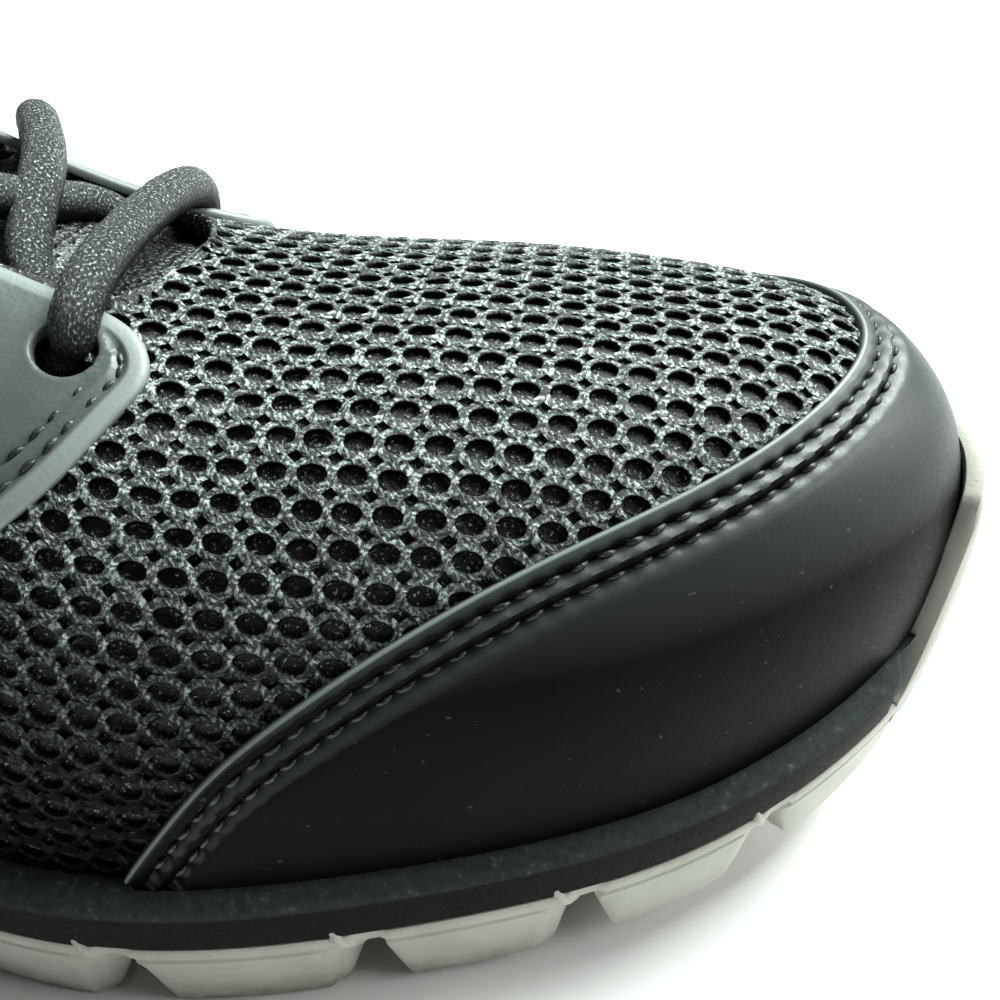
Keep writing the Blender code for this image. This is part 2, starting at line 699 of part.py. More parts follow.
def make_tongue(look):
    """The padded tongue under the throat, free above the top eyelets."""
    front, tip = (THROAT_FRONT + TONGUE_TUCK) / LENGTH, TONGUE_TIP / LENGTH
    across = np.linspace(-1, 1, 9)
    back = np.linspace(0, 1, 13)
    ends = tip + TONGUE_TIP_BACK / LENGTH * (1 - across**2)
    share = front + (ends[None, :] - front) * back[:, None]
    half = TONGUE_HALF_FRONT + (TONGUE_HALF_TOP - TONGUE_HALF_FRONT) * smooth_step(back * 1.3)
    half = half * (1 - 0.30 * smooth_step((back - 0.86) / 0.14) ** 2)
    turn, side, rise = place_across(share, half[:, None] * across[None, :])
    beside = smooth_step((np.abs(across) - 0.35) / 0.3)
    clear = WALL + 4 * FIT + COLLAR_PAD * collar_padding(share) * beside
    clear = clear + TONGUE_FLATTEN * smooth_step((back - 0.55) / 0.4)[:, None] * (1 - across**2)
    thick = TONGUE_THICK * (1 - 0.5 * np.abs(across) ** 4)[None, :] * np.ones_like(clear)
    high = skin(turn, side, rise, -clear)
    low = skin(turn, side, rise, -clear - thick)
    grid = np.concatenate([high, low[:, ::-1]], 1)
    return add_object("tongue", loft("tongue", grid, closed=False), look)


def tube(name, points):
    """A closed tube of the lace's own size along smooth points."""
    points = np.array(points)
    along = np.gradient(points, axis=0)
    along /= np.linalg.norm(along, axis=1, keepdims=True)
    across = np.cross(along, (0.0, 0.0, 1.0))
    across /= np.linalg.norm(across, axis=1, keepdims=True)
    other = np.cross(across, along)
    angle = 2 * math.pi * (np.arange(LACE_SIDES) + 0.5) / LACE_SIDES
    spokes = across[:, None] * np.cos(angle)[None, :, None] + other[:, None] * np.sin(angle)[None, :, None]
    return loft(name, points[:, None] + spokes * LACE_DIAMETER / 2, closed=False)


def crossing(start, end, steps):
    """Middle points of a lace from one eyelet over the tongue to another, each given as (row, side)."""
    eyelets = list(eyelet_places())
    over_panel = PANEL_FIT + EYESTAY_THICK + LACE_CLEAR + LACE_DIAMETER / 2
    ends = [skin(*eyelets[row][:1], side, eyelets[row][1], 0.0) for row, side in (start, end)]
    shares = [(EYELET_FRONT - row * EYELET_PITCH) / LENGTH for row, _ in (start, end)]
    middle = [spine(turn_at(share))[0][1] for share in shares]
    offsets = [point[1] - line for point, line in zip(ends, middle)]
    t = np.linspace(0, 1, steps)
    share = shares[0] + (shares[1] - shares[0]) * t
    offset = offsets[0] + (offsets[1] - offsets[0]) * t
    lift = over_panel - LACE_DIP * np.sin(math.pi * t) ** 4
    return [p for p in skin(*place_across(share, offset), lift)]


def make_lace_bar(look):
    """The straight bar of lace between the two front eyelets."""
    return add_object("lace_bar", tube("lace_bar", crossing((0, -1.0), (0, 1.0), 9)), look)


def make_lace_crossings(look):
    """The lace's two halves from the second row to the top, joined where they cross."""
    halves = []
    for name, side in (("lace_crossings", -1.0), ("lace_other_half", 1.0)):
        points = []
        for row in range(1, EYELET_ROWS - 1):
            away = side * (-1) ** row
            points += crossing((row, away), (row + 1, -away), 8)[bool(points) :]
        halves.append(add_object(name, tube(name, points), look, helper=side > 0))
    boolean(halves[0], halves[1], "UNION")
    return halves[0]


def cord(name, route, look, spacing=CORD_SPACING):
    """A length of lace along a smooth curve through the route's points, which are spaced in lace diameters."""
    route = np.array(route)
    steps = np.concatenate([[0.0], np.cumsum(np.linalg.norm(np.diff(route, axis=0), axis=1))])
    count = round(steps[-1] / (spacing * LACE_DIAMETER)) + 1
    at = np.linspace(0, steps[-1], count)
    points = np.stack([smooth_curve(steps, route[:, axis])(at) for axis in range(3)], 1) - CENTRE
    curve = bpy.data.curves.new(name, "CURVE")
    curve.dimensions = "3D"
    curve.bevel_depth = LACE_DIAMETER / 2
    curve.bevel_resolution = 2
    curve.use_fill_caps = True
    spline = curve.splines.new("POLY")
    spline.points.add(len(points) - 1)
    for spot, point in zip(spline.points, points):
        spot.co = (*point, 1)
    return add_object(name, curve, look)


def make_bow(look):
    """The knot, the two loops and the two ends, as lengths of lace."""
    top = skin(*place_across(KNOT_AT, 0.0), KNOT_LIFT * LACE_DIAMETER)
    angles = np.radians(np.linspace(-KNOT_SWEEP / 2, KNOT_SWEEP / 2, 9))
    ring = [top + KNOT_RADIUS * np.array([math.sin(a), 0.0, math.cos(a)]) for a in angles]
    cord("lace_knot", ring, look, KNOT_SPACING)
    for word, side in (("outer", -1.0), ("inner", 1.0)):
        for kind, table in (("loop", LOOP_ROUTE), ("end", END_ROUTE)):
            lift = np.array(table["lift"]) * LACE_DIAMETER
            route = skin(turn_at(table["at"]), side, np.array(table["rise"]), lift)
            cord(f"lace_{kind}_{word}", route, look)


def clear_previous():
    for old in list(bpy.data.objects):
        bpy.data.objects.remove(old, do_unlink=True)


def main():
    clear_previous()
    rubber = material("light grey sole foam", (0.70, 0.69, 0.67), 0.7)
    foam = material("black sole foam", (0.13, 0.125, 0.12), 0.6)
    mesh_cloth = material("charcoal air mesh", (0.20, 0.215, 0.21), 0.8)
    guard = material("charcoal synthetic leather", (0.22, 0.225, 0.225), 0.5)
    film = material("grey moulded film", (0.42, 0.45, 0.455), 0.45)
    lining = material("black lining cloth", (0.07, 0.07, 0.07), 0.85)
    lace = material("dark grey woven lace", (0.16, 0.165, 0.17), 0.8)

    make_outsole(rubber)
    make_midsole(foam)
    make_insole(lining)
    upper = make_upper(mesh_cloth)
    make_toe_guard(guard)
    stays = {-1.0: make_eyestay("eyestay_outer", -1.0, film), 1.0: make_eyestay("eyestay_inner", 1.0, film)}
    for side, stay in stays.items():
        for row, (turn, rise) in enumerate(eyelet_places()):
            cutter = eyelet_cutter(f"eyelet_cutter_{'inner' if side > 0 else 'outer'}_{row}", side, turn, rise)
            boolean(stay, cutter, "DIFFERENCE")
            boolean(upper, cutter, "DIFFERENCE")
    make_tongue(mesh_cloth)
    make_lace_bar(lace)
    make_lace_crossings(lace)
    make_bow(lace)


main()
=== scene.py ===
"""The look of a right-foot safety sneaker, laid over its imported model.

Metres, +Z up, +X to the toe, -Y the outer side.
"""

import math

import bmesh
import bpy
import numpy as np
from mathutils import Matrix, Vector, geometry
from mathutils.bvhtree import BVHTree
from mathutils.kdtree import KDTree


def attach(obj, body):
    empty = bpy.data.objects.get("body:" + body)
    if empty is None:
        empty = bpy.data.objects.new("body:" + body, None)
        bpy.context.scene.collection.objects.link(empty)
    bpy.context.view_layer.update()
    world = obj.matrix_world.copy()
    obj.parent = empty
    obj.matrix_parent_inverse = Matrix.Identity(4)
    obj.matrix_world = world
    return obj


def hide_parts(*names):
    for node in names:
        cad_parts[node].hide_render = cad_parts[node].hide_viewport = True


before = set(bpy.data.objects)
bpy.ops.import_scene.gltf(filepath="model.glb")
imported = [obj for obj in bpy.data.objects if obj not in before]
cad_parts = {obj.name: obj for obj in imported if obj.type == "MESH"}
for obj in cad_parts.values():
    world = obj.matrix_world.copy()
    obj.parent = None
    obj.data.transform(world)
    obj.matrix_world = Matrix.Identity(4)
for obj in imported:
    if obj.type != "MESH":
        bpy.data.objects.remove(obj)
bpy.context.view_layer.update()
bpy.ops.object.select_all(action="DESELECT")
MM = 0.001

# The last, as in the part: sizes in metres, shares of the length, rises from 0 at the sole to 1 at the ridge
LENGTH = 0.301
BALL_WIDTH = 0.110
INSTEP_HEIGHT = 0.113
COLLAR_HEIGHT = 0.104
FOREFOOT_SIDE = 0.0222
HEEL_SIDE = 0.0320
TOE_SPRING = 0.0120
SPRING_FROM, SPRING_OVER = 0.68, 0.32
HEEL_FROM, HEEL_OVER = 0.55, 0.33
HEEL_LIFT = 0.0040
HEEL_ROLL = 0.09
ARCH_LIFT = 0.0030
ARCH_SPAN = (0.30, 0.54)
ARCH_EASE = 0.08
WALL = 0.0026
COLLAR_PAD = 0.0040
BAND_HEIGHT = 0.0080
BAND_GROWTH = 0.4
BAND_GROWTH_FROM, BAND_GROWTH_OVER = 0.5, 0.3
BAND_BEVEL_DEPTH = 0.0026
SOLE_TAPER = 0.0015
LUG_SKIN = 0.0045
BUMPER_THICK = 0.0027
BUMPER_RAMP = 0.012
FEATHER_INSET = 0.0044
THROAT_GAP_FRONT = 0.0300
THROAT_GAP_TOP = 0.0350
THROAT_FRONT = 0.1935
THROAT_ROUND = 0.0130
THROAT_END = 0.2
COLLAR_END = 0.38
NO_EDGE = 1.5
EDGE_BLEND = 14.0
EDGE_BLEND_LEAST = 0.3
TONGUE_TIP = 0.0800
EYELET_ROWS = 5
EYELET_PITCH = 0.0222
EYELET_FRONT = 0.1868
EYELET_RISE = 0.727
EYELET_RISE_STEP = 0.003
LACE_DIAMETER = 0.0054
HEEL_POLE = 0.130
TOE_POLE = 0.867
POLE_SOFTNESS = 0.045
OUTLINE = {
    "at": (0.0, 0.03, 0.08, 0.20, 0.35, 0.50, 0.62, 0.75, 0.87, 0.955, 1.0),
    "outer": (0.0, -0.44, -0.62, -0.74, -0.77, -0.90, -1.035, -0.93, -0.70, -0.37, 0.107),
    "inner": (0.0, 0.43, 0.61, 0.70, 0.695, 0.785, 0.925, 0.960, 0.850, 0.630, 0.107),
    "middle": (0.0, 0.0, 0.0, 0.0, 0.0, 0.01, 0.03, 0.06, 0.09, 0.105, 0.107),
}
SECTIONS = {
    "at": (0.0, 0.12, 0.25, 0.33, 0.50, 0.57, 0.64, 0.70, 0.78, 0.87, 1.0),
    "ridge": (1.46, 1.42, 1.18, 1.0, 0.825, 0.738, 0.676, 0.662, 0.664, 0.658, 0.652),
    "round": (0.80, 0.85, 0.97, 1.02, 1.05, 1.0, 0.92, 0.86, 0.79, 0.74, 0.73),
}
COLLAR = {
    "at": (0.0, 0.05, 0.12, 0.19, 0.25, 0.30, 0.34, 0.40),
    "height": (1.0, 0.985, 0.915, 0.835, 0.81, 0.86, 1.0, 1.35),
}
GUARD_EDGE = {
    "at": (0.655, 0.672, 0.69, 0.72, 0.75, 0.80, 0.85, 0.90, 0.95, 1.0),
    "rise": (0.0, 0.080, 0.16, 0.255, 0.33, 0.435, 0.52, 0.60, 0.68, 0.755),
}
EYESTAY_EDGE = {
    "at": (0.300, 0.40, 0.50, 0.58, 0.622, 0.642, 0.652, 0.6465, 0.632, 0.606, 0.582, 0.555, 0.530,
           0.45, 0.385, 0.355, 0.345, 0.335, 0.318, 0.300, 0.288, 0.290),
    "rise": (0.700, 0.775, 0.795, 0.808, 0.810, 0.785, 0.725, 0.660, 0.560, 0.440, 0.320, 0.180, 0.02,
             0.02, 0.02, 0.180, 0.320, 0.440, 0.520, 0.575, 0.620, 0.665),
}
WINDOWS = (
    ((0.574, 0.612), (0.606, 0.598), (0.586, 0.515)),
    ((0.544, 0.590), (0.500, 0.446), (0.558, 0.446)),
    ((0.468, 0.652), (0.520, 0.622), (0.490, 0.512)),
    ((0.440, 0.648), (0.392, 0.540), (0.458, 0.522)),
    ((0.372, 0.640), (0.424, 0.654), (0.386, 0.578)),
)
WINDOW_ROUND = 0.22
LOOP_ROUTE = {
    "at": (0.321, 0.331, 0.349, 0.367, 0.374, 0.366, 0.338, 0.308, 0.293, 0.291, 0.294, 0.300),
    "rise": (0.945, 0.87, 0.73, 0.58, 0.47, 0.37, 0.325, 0.37, 0.48, 0.62, 0.78, 0.90),
    "lift": (1.65, 1.95, 2.10, 1.50, 1.10, 0.95, 0.95, 0.95, 1.00, 1.05, 1.20, 1.45),
}
END_ROUTE = {
    "at": (0.344, 0.360, 0.381, 0.396, 0.407, 0.413, 0.416),
    "rise": (0.950, 0.875, 0.760, 0.640, 0.530, 0.430, 0.340),
    "lift": (1.75, 2.05, 2.20, 1.70, 1.20, 0.98, 0.95),
}
GROOVES = {
    "outer": (0.105, 0.195, 0.285, 0.555, 0.655, 0.752, 0.838, 0.918),
    "inner": (0.105, 0.195, 0.285, 0.585, 0.682, 0.772, 0.850, 0.925),
}

# The front end of the sole and its bumper, which stand higher here than in the part
TIP_LIFT = 0.0045
TIP_FROM, TIP_OVER = 0.85, 0.20
BUMPER_RISE = 0.27
BUMPER_START = {"outer": 0.962, "inner": 0.938}
BUMPER_RUN_IN = 0.014

# Sizes of the look
CHANNEL = (0.06, 0.90)
CHANNEL_EASE = 0.01
LONG_CUT = 0.0010
SIPE = 0.9 * MM
NET_PITCH = (0.0043, 0.0041)
NET_DEPTH = 0.0008
STITCH_PITCH = 0.0032
COLLAR_SHOWN = 0.40

# How finely things are measured and joined
SIDES = (("outer", -1.0), ("inner", 1.0))
FINE_TURNS = np.linspace(0, math.pi, 4001)
STEP = 1e-3
RIDGE_FROM = 0.97
EASE = 0.03
WELD = 2e-6
SLIVER = 1e-7


def smooth_curve(ats, values):
    """A natural cubic spline through the given points, as a function of an array."""
    x, y = np.asarray(ats, float), np.asarray(values, float)
    h = np.diff(x)
    n = len(x)
    matrix, right = np.eye(n), np.zeros(n)
    for i in range(1, n - 1):
        matrix[i, i - 1 : i + 2] = h[i - 1], 2 * (h[i - 1] + h[i]), h[i]
        right[i] = 6 * ((y[i + 1] - y[i]) / h[i] - (y[i] - y[i - 1]) / h[i - 1])
    bend = np.linalg.solve(matrix, right)

    def value(at):
        at = np.clip(at, x[0], x[-1])
        i = np.clip(np.searchsorted(x, at, side="right") - 1, 0, n - 2)
        b = (at - x[i]) / h[i]
        a = 1 - b
        return a * y[i] + b * y[i + 1] + ((a**3 - a) * bend[i] + (b**3 - b) * bend[i + 1]) * h[i] ** 2 / 6

    return value


def turn_at(share):
    """The turn round the shoe, 0 at the heel's back and pi at the toe's tip, at a share of its length."""
    return np.arccos(np.clip(1 - 2 * np.asarray(share, float), -1, 1))


def share_at(turn):
    """The share of the length at a turn."""
    return (1 - np.cos(turn)) / 2


def smooth_step(t):
    """0 up to t = 0, 1 from t = 1, and a smooth ramp between them."""
    t = np.clip(t, 0, 1)
    return t * t * (3 - 2 * t)


def unit(vectors, least=0.0):
    """The vectors at length 1, or shorter where they are under the least length."""
    return vectors / np.maximum(np.linalg.norm(vectors, axis=-1, keepdims=True), least)


def run_along(points):
    """Distances along a line of points from its first one."""
    return np.concatenate([[0], np.cumsum(np.linalg.norm(np.diff(points, axis=0), axis=1))])


def both_sides(outer, inner):
    """The sides of so many columns on the outer side and then so many on the inner one."""
    return np.concatenate([np.full(outer, -1.0), np.full(inner, 1.0)])


def folded(turn, side):
    """A turn past the heel's back or the toe's tip, as the turn and side that it stands for."""
    side = np.where((turn < 0) | (turn > math.pi), -side, side)
    return np.where(turn < 0, -turn, np.where(turn > math.pi, 2 * math.pi - turn, turn)), side


outer_width = smooth_curve(turn_at(OUTLINE["at"]), OUTLINE["outer"])
inner_width = smooth_curve(turn_at(OUTLINE["at"]), OUTLINE["inner"])
middle_line = smooth_curve(OUTLINE["at"], OUTLINE["middle"])
ridge_share = smooth_curve(SECTIONS["at"], SECTIONS["ridge"])
roundness = smooth_curve(SECTIONS["at"], SECTIONS["round"])
collar_share = smooth_curve(COLLAR["at"], COLLAR["height"])
guard_rise = smooth_curve(GUARD_EDGE["at"], GUARD_EDGE["rise"])


def outline(turn, side, inset=0.0):
    """Points of the sole's outline, moved in by inset. side is -1 outer or 1 inner."""

    def raw(t):
        t, s = folded(t, side)
        y = np.where(s < 0, outer_width(t), inner_width(t)) * BALL_WIDTH / 2
        return np.stack([LENGTH * share_at(t), y], -1)

    turn, side = np.broadcast_arrays(np.asarray(turn, float), side)
    along = raw(turn + STEP) - raw(turn - STEP)
    out = unit(np.stack([-along[..., 1], along[..., 0]], -1) * side[..., None])
    return raw(turn) - out * np.asarray(inset)[..., None]


def spring(x):
    """How far the sole's front end is lifted."""
    share = x / LENGTH
    tip = TIP_LIFT * smooth_step((share - TIP_FROM) / TIP_OVER)
    return TOE_SPRING * np.clip((share - SPRING_FROM) / SPRING_OVER, 0, None) ** 2 + tip


def sole_top(x):
    """Height of the sole's top face."""
    heel = smooth_step((HEEL_FROM - x / LENGTH) / HEEL_OVER)
    return FOREFOOT_SIDE + (HEEL_SIDE - FOREFOOT_SIDE) * heel + spring(x)


def sole_bottom(x):
    """Height of the sole's underside between its grooves."""
    share = x / LENGTH
    heel = HEEL_LIFT * np.clip((HEEL_ROLL - share) / HEEL_ROLL, 0, 1) ** 2
    start, end = ARCH_SPAN
    arch = ARCH_LIFT * smooth_step((share - start) / ARCH_EASE) * smooth_step((end - share) / ARCH_EASE)
    return spring(x) + heel + arch


def band_bottom(x):
    """Height at which the dark band of the sole sits on the light layer."""
    growth = BAND_GROWTH * smooth_step((BAND_GROWTH_FROM - x / LENGTH) / BAND_GROWTH_OVER)
    return sole_top(x) - BAND_HEIGHT * (1 + growth)


def spine(turn):
    """The middle line of the last that the sections close on, drawn short of the heel and the toe."""
    share = share_at(turn)
    share = TOE_POLE - POLE_SOFTNESS * np.log1p(np.exp((TOE_POLE - share) / POLE_SOFTNESS))
    share = HEEL_POLE + POLE_SOFTNESS * np.log1p(np.exp((share - HEEL_POLE) / POLE_SOFTNESS))
    return np.stack([share * LENGTH, middle_line(share) * BALL_WIDTH / 2], -1), share


def base_skin(turn, side, rise):
    """The last's surface."""
    turn, side = folded(turn, side)
    foot = outline(turn, side, FEATHER_INSET)
    middle, share = spine(turn)
    power = roundness(share)
    angle = np.clip(rise, 0, 1) * math.pi / 2
    reach = np.maximum(np.cos(angle), 1e-9) ** power
    climb = np.sin(angle) ** power
    foot_z = sole_top(foot[..., 0])
    plan = middle + (foot - middle) * reach[..., None]
    z = foot_z + (ridge_share(share) * INSTEP_HEIGHT - foot_z) * climb
    return np.concatenate([plan, z[..., None]], -1)


def skin_normal(turn, side, rise):
    """The skin's outward normal."""
    low = np.clip(rise, 0.012, 0.985)
    along = base_skin(turn + STEP, side, low) - base_skin(turn - STEP, side, low)
    up = base_skin(turn, side, low + STEP) - base_skin(turn, side, low - STEP)
    return unit(np.cross(along, up) * -np.asarray(side)[..., None])


def skin(turn, side, rise, lift):
    """Points at a lift off the last: 0 is the upper's own face, less than 0 inside it."""
    turn, side, rise, lift = np.broadcast_arrays(*(np.asarray(v, float) for v in (turn, side, rise, lift)))
    out = skin_normal(turn, side, rise)
    other = skin_normal(turn, -side, rise)
    share = smooth_step((rise - RIDGE_FROM) / EASE)[..., None] / 2
    out = out * (1 - share) + other * share
    out[..., 2] *= smooth_step(rise / EASE)
    return base_skin(turn, side, rise) + unit(out) * lift[..., None]


def opening_rise(turn, side):
    """The rise at which the upper ends: the throat's edge in front, the collar behind, 1 where it closes."""
    share = share_at(turn)
    foot = outline(turn, side, FEATHER_INSET)
    middle, spine_share = spine(turn)
    power = roundness(spine_share)
    x = share * LENGTH
    back = np.clip((THROAT_FRONT - x) / (THROAT_FRONT - TONGUE_TIP), 0, 1)
    half = (THROAT_GAP_FRONT + (THROAT_GAP_TOP - THROAT_GAP_FRONT) * back) / 2
    nose = np.clip((x - (THROAT_FRONT - THROAT_ROUND)) / THROAT_ROUND, 0, 1)
    half = half * (1 - nose**3) ** (1 / 3)
    reach = np.clip(half / np.abs(foot[..., 1] - middle[..., 1]), 0, 1)
    throat = np.arccos(reach ** (1 / power)) / (math.pi / 2)
    foot_z = sole_top(foot[..., 0])
    top = ridge_share(spine_share) * INSTEP_HEIGHT - foot_z
    climb = np.clip((collar_share(share) * COLLAR_HEIGHT - foot_z) / top, 0, 1)
    collar = np.arcsin(climb ** (1 / power)) / (math.pi / 2)
    collar = np.where(share > COLLAR_END, NO_EDGE, collar)
    throat = np.where(share < THROAT_END, NO_EDGE, throat)
    both = np.maximum(throat, EDGE_BLEND_LEAST) ** -EDGE_BLEND + collar**-EDGE_BLEND
    ends = np.where(share > COLLAR_END, throat, both ** (-1 / EDGE_BLEND))
    return np.where(x >= THROAT_FRONT - 1e-6, 1.0, ends)


def place_across(share, offset):
    """Turn, side and rise of the skin's places at signed distances from its middle line, outer side negative."""
    share, offset = np.broadcast_arrays(np.asarray(share, float), np.asarray(offset, float))
    turn = turn_at(share)
    side = np.where(offset < 0, -1.0, 1.0)
    foot = outline(turn, side, FEATHER_INSET)
    middle, spine_share = spine(turn)
    reach = np.clip(np.abs(offset) / np.abs(foot[..., 1] - middle[..., 1]), 0, 1)
    return turn, side, np.arccos(reach ** (1 / roundness(spine_share))) / (math.pi / 2)


CENTRE = np.array([LENGTH / 2, BALL_WIDTH / 4 * (max(OUTLINE["inner"]) + min(OUTLINE["outer"])), 0.0])


def toe_span(turn, side):
    """1 where the toe bumper stands, 0 elsewhere, with short ramps at its ends."""
    share = share_at(turn)
    start = np.where(side < 0, BUMPER_START["outer"], BUMPER_START["inner"])
    return smooth_step((share - start) / BUMPER_RAMP)


# Camera


def add_camera():
    """The photograph's own view, found by fitting the shoe to its picture."""
    right = Vector((0.99331697, 0.10442421, 0.04916283))
    up = Vector((-0.10158585, 0.58879699, 0.80187182))
    back = right.cross(up)
    made = bpy.data.objects.new("camera", bpy.data.cameras.new("camera"))
    made.data.sensor_width = 36.0
    made.data.lens = 34.72
    made.data.clip_start = 0.01
    turned = Matrix((right, up, back)).transposed().to_4x4()
    made.matrix_world = Matrix.Translation((0.09103, -0.10934, 0.12554)) @ turned
    bpy.context.scene.collection.objects.link(made)
    bpy.context.scene.camera = made


# Materials


def linear(colour):
    """An sRGB hex colour as the linear colour of a shader."""
    parts = [int(colour[i : i + 2], 16) / 255 for i in (1, 3, 5)]
    return (*[c / 12.92 if c <= 0.04045 else ((c + 0.055) / 1.055) ** 2.4 for c in parts], 1.0)


def node(tree, kind, settings=None, links=None):
    """Adds one node: settings are its properties, links its inputs by name or number, as values or sockets."""
    made = tree.nodes.new("ShaderNode" + kind)
    for name, value in (settings or {}).items():
        setattr(made, name, value)
    for name, value in (links or {}).items():
        if isinstance(value, bpy.types.NodeSocket):
            tree.links.new(value, made.inputs[name])
        else:
            made.inputs[name].default_value = value
    return made


def new_material(name, **values):
    """A material with its shader set to the given values, and its tree."""
    made = bpy.data.materials.new(name)
    made.use_nodes = True
    shader = made.node_tree.nodes["Principled BSDF"]
    for key, value in values.items():
        shader.inputs[key.replace("_", " ")].default_value = value
    return made, made.node_tree, shader


def noise(tree, where, size, detail=2.0, rough=0.5):
    """A noise whose blotches are about size metres across."""
    links = {"Vector": where, "Scale": 1 / size, "Detail": detail, "Roughness": rough}
    return node(tree, "TexNoise", links=links).outputs["Fac"]


def ramp(tree, value, stops):
    """A colour ramp over value: stops are (place, hex colour) in order."""
    made = node(tree, "ValToRGB", links={"Fac": value})
    band = made.color_ramp
    while len(band.elements) < len(stops):
        band.elements.new(0.5)
    for element, (place, colour) in zip(band.elements, stops):
        element.position = place
        element.color = linear(colour)
    return made.outputs["Color"]


def blend_colours(tree, share, first, second):
    made = node(tree, "Mix", {"data_type": "RGBA"})
    for number, value in ((0, share), (6, first), (7, second)):
        if isinstance(value, bpy.types.NodeSocket):
            tree.links.new(value, made.inputs[number])
        else:
            made.inputs[number].default_value = value if number == 0 else linear(value)
    return made.outputs[2]


def spread(tree, value, low, high, out_low=0.0, out_high=1.0):
    """value from low to high taken to out_low to out_high, and held at the ends."""
    links = {"Value": value, "From Min": low, "From Max": high, "To Min": out_low, "To Max": out_high}
    return node(tree, "MapRange", links=links).outputs["Result"]


def bump(tree, shader, height, distance, strength=1.0, under=None):
    """Height given to the shader as relief of the given depth in metres."""
    links = {"Height": height, "Distance": distance, "Strength": strength}
    if under is not None:
        links["Normal"] = under
    made = node(tree, "Bump", links=links).outputs["Normal"]
    tree.links.new(made, shader.inputs["Normal"])
    return made


def object_place(tree):
    return node(tree, "TexCoord").outputs["Object"]


def cut_edge(tree):
    """The mark of a piece's cut, bevelled or bound edges, 0 to 1."""
    return node(tree, "Attribute", {"attribute_name": "cut_edge"}).outputs["Fac"]


def axis_of(tree, vector, axis):
    return node(tree, "SeparateXYZ", links={"Vector": vector}).outputs[axis]


def times(tree, first, second, plus=0.0):
    """first times second, plus a third value."""
    return node(tree, "Math", {"operation": "MULTIPLY_ADD"}, {0: first, 1: second, 2: plus}).outputs[0]


def give(tree, shader, name, value):
    tree.links.new(value, shader.inputs[name])


def with_specks(tree, place, tone, size, rim, inside, amount, colour):
    """tone with scattered specks of a colour: rim and inside are the noise's values at a speck's edge and middle."""
    dots = ramp(tree, noise(tree, place, size, 2.0), ((rim, "#000000"), (inside, "#ffffff")))
    return blend_colours(tree, spread(tree, dots, 0.0, 1.0, 0.0, amount), tone, colour)


def with_grain(tree, shader, grain, smooth, rough, depth):
    """The shader's roughness from smooth to rough over a grain, and the grain as its relief."""
    give(tree, shader, "Roughness", spread(tree, grain, 0.3, 0.7, smooth, rough))
    bump(tree, shader, grain, depth)


def facing_up(tree, low, high):
    """0 where the surface leans below low, 1 where it faces up by more than high."""
    normal = node(tree, "NewGeometry").outputs["Normal"]
    return spread(tree, axis_of(tree, normal, "Z"), low, high)


def net_yarn():
    """Thick twisted yarn of the net: pale flecks on its raised plies, partly the yarn's own and partly painted glints;
    painted shade makes it black inside the holes, low down near the sole and on faces turned down.
    """
    made, tree, shader = new_material("knitted polyester yarn", Roughness=0.30)
    place = object_place(tree)
    strand = node(tree, "UVMap", {"uv_map": "strand"}).outputs["UV"]
    turned = node(tree, "Mapping", links={"Vector": strand, "Rotation": (0.0, 0.0, 0.65)}).outputs["Vector"]
    links = {"Vector": turned, "Scale": 0.42, "Distortion": 7.0, "Detail": 3.0, "Detail Scale": 2.2}
    plies = node(tree, "TexWave", links=links).outputs["Fac"]
    relief = times(tree, plies, 0.13, noise(tree, place, 0.00072, 4.0, 0.74))
    # pale flecks on the high plies of the relief: partly the yarn's own, partly painted glints
    flecks_and_glints = ramp(tree, relief, ((0.47, "#040605"), (0.54, "#232b28"), (0.60, "#75857e"), (0.67, "#d6e6dd")))
    broad = noise(tree, place, 0.006, 2.0)
    colour = blend_colours(tree, spread(tree, broad, 0.3, 0.7, 0.0, 0.25), flecks_and_glints, "#181d1b")
    # painted shade: black down inside the lip of each hole
    hole_shade = spread(tree, axis_of(tree, strand, "Y"), 1.50, 1.66, 0.85, 0.0)
    colour = blend_colours(tree, hole_shade, colour, "#060807")
    height = axis_of(tree, place, "Z")
    # painted shade: near black low down towards the sole
    colour = blend_colours(tree, spread(tree, height, 0.028, 0.070, 0.93, 0.0), colour, "#070908")
    # painted light and shade: near black on faces turned down, the yarn's colour on faces turned up; the specular is
    # cut back likewise and low down
    lit_facing_up = facing_up(tree, 0.05, 0.55)
    give(tree, shader, "Base Color", blend_colours(tree, lit_facing_up, "#040505", colour))
    shine = times(tree, lit_facing_up, spread(tree, height, 0.028, 0.070, 0.1, 1.0))
    give(tree, shader, "Specular IOR Level", spread(tree, shine, 0.0, 1.0, 0.04, 0.8))
    bump(tree, shader, relief, 0.0006)
    return made


def spacer_backing():
    """The black inner layer seen through the net's holes, with a few filaments painted near white as glints."""
    made, tree, shader = new_material("black spacer cloth", Roughness=0.45)
    filaments_and_glints = noise(tree, object_place(tree), 0.00045, 3.0, 0.6)
    # painted glints: the filaments' peaks go near white
    give(tree, shader, "Base Color", ramp(tree, filaments_and_glints, ((0.53, "#050606"), (0.61, "#141817"), (0.67, "#d3ded9"))))
    bump(tree, shader, filaments_and_glints, 0.0003)
    return made


